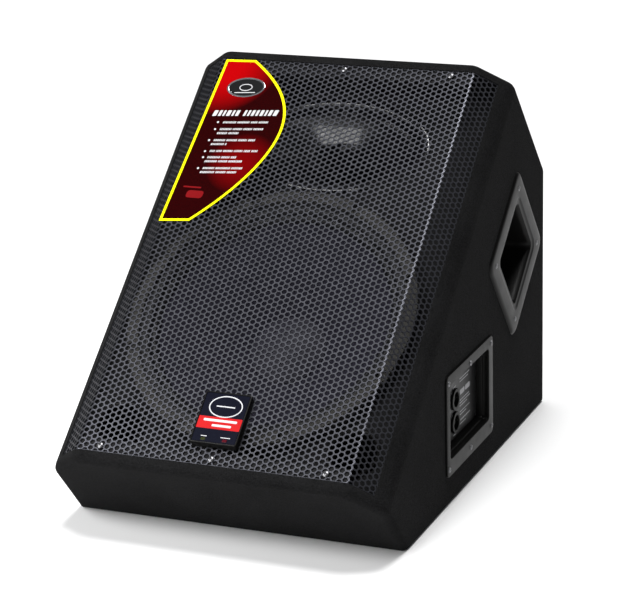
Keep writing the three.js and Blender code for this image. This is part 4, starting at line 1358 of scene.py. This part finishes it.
@dataclass
class HornAndPorts:
    """The elliptical horn and the two reflex ports."""

    seat: float = -46.7
    lip_height: float = 3.0
    lip: Pair = (136.5, 78.5)
    port_bore: float = 29.0
    port_wall: float = 2.2
    port_end: float = -109.0

    def build(self) -> None:
        """Builds the horn and the ports."""
        _, up, _ = FACE.local(middle("hf_magnet"))
        inside = [(12.7, 12.7, -158), (20, 16, -140), (36, 22, -116), (62, 31, -92), (74, 38, -84),
                  (100, 52, -70), (116, 61, -58), (123, 65.5, -48), (126, 68.5, self.seat + 2.6)]
        outside = [(127.5, 70, self.seat), (127, 69.5, -52), (119, 64, -61), (102.5, 54.5, -73),
                   (76.5, 40.5, -87), (64.5, 33.5, -95), (38.5, 24.5, -119), (22.5, 18.5, -143),
                   (16, 16, -152), (34, 34, -152), (34, 34, -158)]
        wide, tall = self.lip
        top = self.seat + self.lip_height
        lip = [(127.5, 69.8, top), (wide - 3, tall - 3, top),
               (wide - 1, tall - 1, self.seat + 2.4), (wide, tall, self.seat + 1),
               (wide, tall, self.seat)]
        rings = [ellipse(a, b, z, 96) for a, b, z in [*self.eased(inside), *lip, *outside]]
        horn = Body().loft(rings, True).piece("horn_flare", FACE.matrix(0, up), [GLOSSY], 40)
        install(horn, "gloss_plastic", "horn")
        for name in ("left", "right"):
            x, y, _ = FACE.local(middle(f"port_tube_{name}"))
            bore, outer = self.port_bore, self.port_bore + self.port_wall
            flare = [(bore + 4.5 * (1 - math.cos(a)), top - 5.0 * (1 - math.sin(a)))
                     for a in between(0.0, math.pi / 2, 8)]
            profile = [(bore, self.port_end), *flare, (outer + 3.6, self.seat + 2.2),
                       (outer + 4, self.seat), (outer, self.seat), (outer, self.port_end)]
            tube = Body().lathe(profile, 72).piece(f"port_{name}", FACE.matrix(x, y), [MOULDED])
            install(tube, "moulded_plastic", f"port_tube_{name}")

    @staticmethod
    def eased(rings: Sequence[Triple]) -> list[Triple]:
        """Adds smooth rings between the ones given."""
        made = []
        for i in range(len(rings) - 1):
            before, here = Vector(rings[max(i - 1, 0)]), Vector(rings[i])
            after, beyond = Vector(rings[i + 1]), Vector(rings[min(i + 2, len(rings) - 1)])
            for t in (0.0, 0.25, 0.5, 0.75):
                a = here * 2 + (after - before) * t
                b = (before * 2 - here * 5 + after * 4 - beyond) * t * t
                c = (here * 3 - before - after * 3 + beyond) * t ** 3
                made.append(tuple((a + b + c) * 0.5))
        return [*made, rings[-1]]


# ------------------------------------------------------------------ handles and input dish


@dataclass
class PocketHandle:
    """A square moulded pocket handle, set square to the grille."""

    name: str
    sign: int
    turn: float = 39.4
    size: float = 168.0
    mouth: float = 100.0
    depth: float = 56.0
    proud: float = 3.4
    crisp: float = 0.74
    screw_spacing: float = 128.0

    def build(self) -> None:
        """Builds the cup and its four screws."""
        side = side_place(self.sign)
        x, y, _ = side.local(middle(f"handle_{self.name}"))
        place = side.matrix(x, y, 0, self.sign * self.turn)
        flange, mouth = self.size / 2, self.mouth / 2
        profile = [(28, 18, -self.depth), (36, 18, -self.depth + 1), (41, 17, -self.depth + 5),
                   (44.5, 15, -self.depth + 13), (mouth - 3, 13, -self.depth + 22),
                   (mouth - 2, 12.5, -16),
                   (mouth - 1, 12, -6), (mouth, 12.5, -1.5), (mouth + 2, 13.5, 1.5),
                   (mouth + 5, 15.5, self.proud - 1.4), (mouth + 7.5, 17, self.proud - 1.1),
                   (mouth + 9, 17.5, self.proud - 0.2), (mouth + 10.5, 18, self.proud),
                   (flange - 7, 20, self.proud), (flange - 3, 20, self.proud - 0.5),
                   (flange - 0.9, 20, self.proud - 1.9), (flange, 20, self.proud - 3.4),
                   (flange, 20, 0.3),
                   (mouth + 5, 14, 0.3), (mouth + 5, 14, -10), (mouth, 14, -self.depth + 16),
                   (43, 16, -self.depth + 1), (30, 18, -self.depth - 3)]
        rings = [rounded(2 * half, 2 * half, radius * self.crisp, z, 9)
                 for half, radius, z in profile]
        cup = Body().loft(rings, False).piece(f"pocket_{self.name}", place, [MOULDED], 38)
        install(cup, "moulded_plastic", f"handle_{self.name}")
        half = self.screw_spacing / 2
        points = [(a * half, b * half, self.proud - 0.9) for a in (-1, 1) for b in (-1, 1)]
        screws = Screws().row(f"handle_screws_{self.name}", place, points, 3.9, SCREW)
        install(screws, "screw_steel")


@dataclass
class InputDish:
    """The recessed input dish, its plate, sockets, screws and plain markings."""

    recess: Pair = (150.0, 93.0)
    flange: Pair = (187.0, 138.0)
    flange_offset: Pair = (2.5, -4.0)
    floor: float = -16.0
    socket_column: float = -13.0
    jack_column: float = -53.0
    rows: Pair = (8.0, -24.0)
    plate_top: float = -14.2
    flange_screws: Pair = (86.5, 58.5)
    plate_screws: Pair = (69.5, 41.0)
    socket_screw: float = 12.5
    marks: tuple[Triple, ...] = (
        (33, 30, 2.0), (28, 40, 1.4), (24, 34, 1.4), (6, 44, 7.0), (-2, 38, 1.6), (-6, 42, 1.6),
        (-10, 30, 1.6), (-18, 40, 1.4), (-22, 26, 1.4), (-30, 42, 2.0), (-35, 24, 1.4))

    def build(self) -> None:
        """Builds the dish and everything in it."""
        side = side_place(1)
        x, y, _ = side.local(middle("input_dish"))
        place = side.matrix(x - self.flange_offset[0], y - self.flange_offset[1])
        self.build_tray(place)
        self.build_sockets(place)
        self.build_marks(place)
        dx, dy = self.flange_offset
        wide, tall = self.flange_screws
        points = [(dx + a * wide, dy + b * tall, 2.7) for a in (-1, 0, 1) for b in (-1, 1)]
        install(Screws().row("dish_screws", place, points, 3.7, SCREW), "screw_steel")
        wide, tall = self.plate_screws
        seat, off = self.plate_top - 0.1, self.socket_screw
        corners = [(a * wide, b * tall, seat) for a in (-1, 1) for b in (-1, 1)]
        corners += [(self.socket_column - s * off, y + s * off, seat)
                    for y in self.rows for s in (1, -1)]
        install(Screws().row("plate_screws", place, corners, 2.3, BLACK_SCREW), "screw_steel")

    def build_tray(self, place: Matrix) -> None:
        """Builds the flange and the stepped recess as one moulding."""
        wide, tall = self.recess
        dx, dy = self.flange_offset
        outer = ((0, 8, 0.3), (0, 8, 2.0), (1.2, 7.6, 2.8), (3, 7, 3.0))
        rings = [moved(rounded(self.flange[0] - less, self.flange[1] - less, radius, z), dx, dy)
                 for less, radius, z in outer]
        rings += [
            rounded(wide + 9, tall + 9, 6.5, 3.0), rounded(wide + 7.4, tall + 7.4, 6, 2.2),
            rounded(wide + 6.6, tall + 6.6, 5.6, -4.2), rounded(wide + 6, tall + 6, 5.4, -5.0),
            rounded(wide + 1.4, tall + 1.4, 4.4, -5.4), rounded(wide + 0.6, tall + 0.6, 4, -6.2),
            rounded(wide, tall, 4, self.floor), rounded(wide - 14, tall - 14, 3, self.floor),
            rounded(wide - 14, tall - 14, 3, self.floor - 2.4),
            rounded(wide + 5, tall + 5, 5, self.floor - 2.4),
            rounded(wide + 6.8, tall + 6.8, 5.6, -6.0),
            rounded(wide + 6.8, tall + 6.8, 5.6, 0.3)]
        tray = Body().loft(rings, True).piece("dish_tray", place, [MOULDED])
        install(tray, "moulded_plastic", "input_dish")

    def build_sockets(self, place: Matrix) -> None:
        """Builds the twist-lock and jack sockets."""
        top = self.plate_top
        for name, y in zip(("upper", "lower"), self.rows):
            socket = Body().lathe([
                (11.9, top - 28), (11.9, top + 0.3), (14.8, top + 0.3), (15, top + 0.9),
                (14.9, top + 2.4),
                (14.2, top + 3.0), (10.6, top + 3.0), (9.8, top + 2.2),
                (9.8, top - 20)], 64, tube=False)
            socket.lathe([(4.6, top - 20.2), (4.6, top - 1.2), (4.0, top - 0.4), (2.2, top - 0.3)],
                         40, tube=False)
            for side in (-1, 1):
                socket.bar(side * 8.6 - 1.6, -1.6, 3.2, 3.2, top - 18, top + 0.6)
            shift = Matrix.Translation((self.socket_column, y, 0))
            install(socket.piece(f"twist_socket_{name}", place @ shift, [MOULDED]),
                    "moulded_plastic", f"twist_lock_socket_{name}")
            jack = Body().lathe([
                (8.0, top - 24), (8.0, top + 0.3), (9.4, top + 0.3), (9.4, top + 2.2),
                (8.8, top + 3.0),
                (6.8, top + 3.4), (6.4, top + 4.0), (4.0, top + 4.0), (3.3, top + 3.4),
                (3.3, top - 18)],
                48, tube=False)
            jack.lathe([(5.9, top + 3.6), (5.9, top + 4.4), (3.9, top + 4.4), (3.9, top + 3.6)],
                       6, look=1)
            shift = Matrix.Translation((self.jack_column, y, 0))
            install(jack.piece(f"jack_{name}", place @ shift, [MOULDED, PLATED]),
                    "moulded_plastic", f"jack_socket_{name}")

    def build_marks(self, place: Matrix) -> None:
        """Builds plain bars where the plate is marked."""
        ink = Body()
        low, high = self.plate_top - 0.02, self.plate_top + 0.08
        for y, wide, tall in self.marks:
            cuts = max(1, round(wide / (tall * 3.2)))
            for i in range(cuts):
                ink.bar(8 + i * wide / cuts, y, wide / cuts - tall * 0.4, tall, low, high)
        for y in self.rows:
            ink.bar(self.jack_column - 7, y + 12.4, 14, 1.5, low, high)
            ink.bar(self.socket_column - 6, y + 16.0 if y > 0 else y - 18, 12, 1.4, low, high)
        install(ink.piece("plate_marks", place, [GREY_INK]), "cast_alloy")


# ------------------------------------------------------------------ kept CAD pieces


KEPT: dict[str, Finish] = {
    "baffle": BOARD, "grille_cleat_lower": BOARD, "grille_cleat_upper": BOARD, "floor_panel": BOARD,
    "rear_panel": BOARD, "woofer_basket": CAST, "woofer_gasket": GASKET, "voice_coil": COPPER,
    "woofer_top_plate": PLATED, "woofer_magnet": FERRITE, "woofer_pole_piece": PLATED,
    "hf_pole_piece": PLATED, "hf_magnet": FERRITE, "hf_top_plate": PLATED, "hf_diaphragm": TITANIUM,
    "hf_rear_cover": MOULDED, "input_plate": PLATE, "crossover_board": CIRCUIT,
    "woofer_choke": COPPER,
    "hf_choke": COPPER, "hf_capacitor": SLEEVE, "woofer_lead": RED_LEAD, "hf_lead": BLUE_LEAD,
    "wadding": WADDING,
}


def dress_kept() -> None:
    """Gives each CAD node that stays in view its finish."""
    for node, finish in KEPT.items():
        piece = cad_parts[node]
        for slot in piece.material_slots:
            slot.material = finish.material()
        log.info("%s keeps its shape in %s", node, finish.name)


def main() -> None:
    """Builds the studio and every sub-assembly."""
    logging.basicConfig(level=logging.INFO, format="%(message)s")
    Studio().build()
    dress_kept()
    for assembly in (Cabinet(), Grille(), Badge(), FeatureCard(), Woofer(), HornAndPorts(),
                     PocketHandle("left", -1), PocketHandle("right", 1), InputDish()):
        log.info("-- %s", type(assembly).__name__)
        assembly.build()


if __name__ == "__main__":
    main()
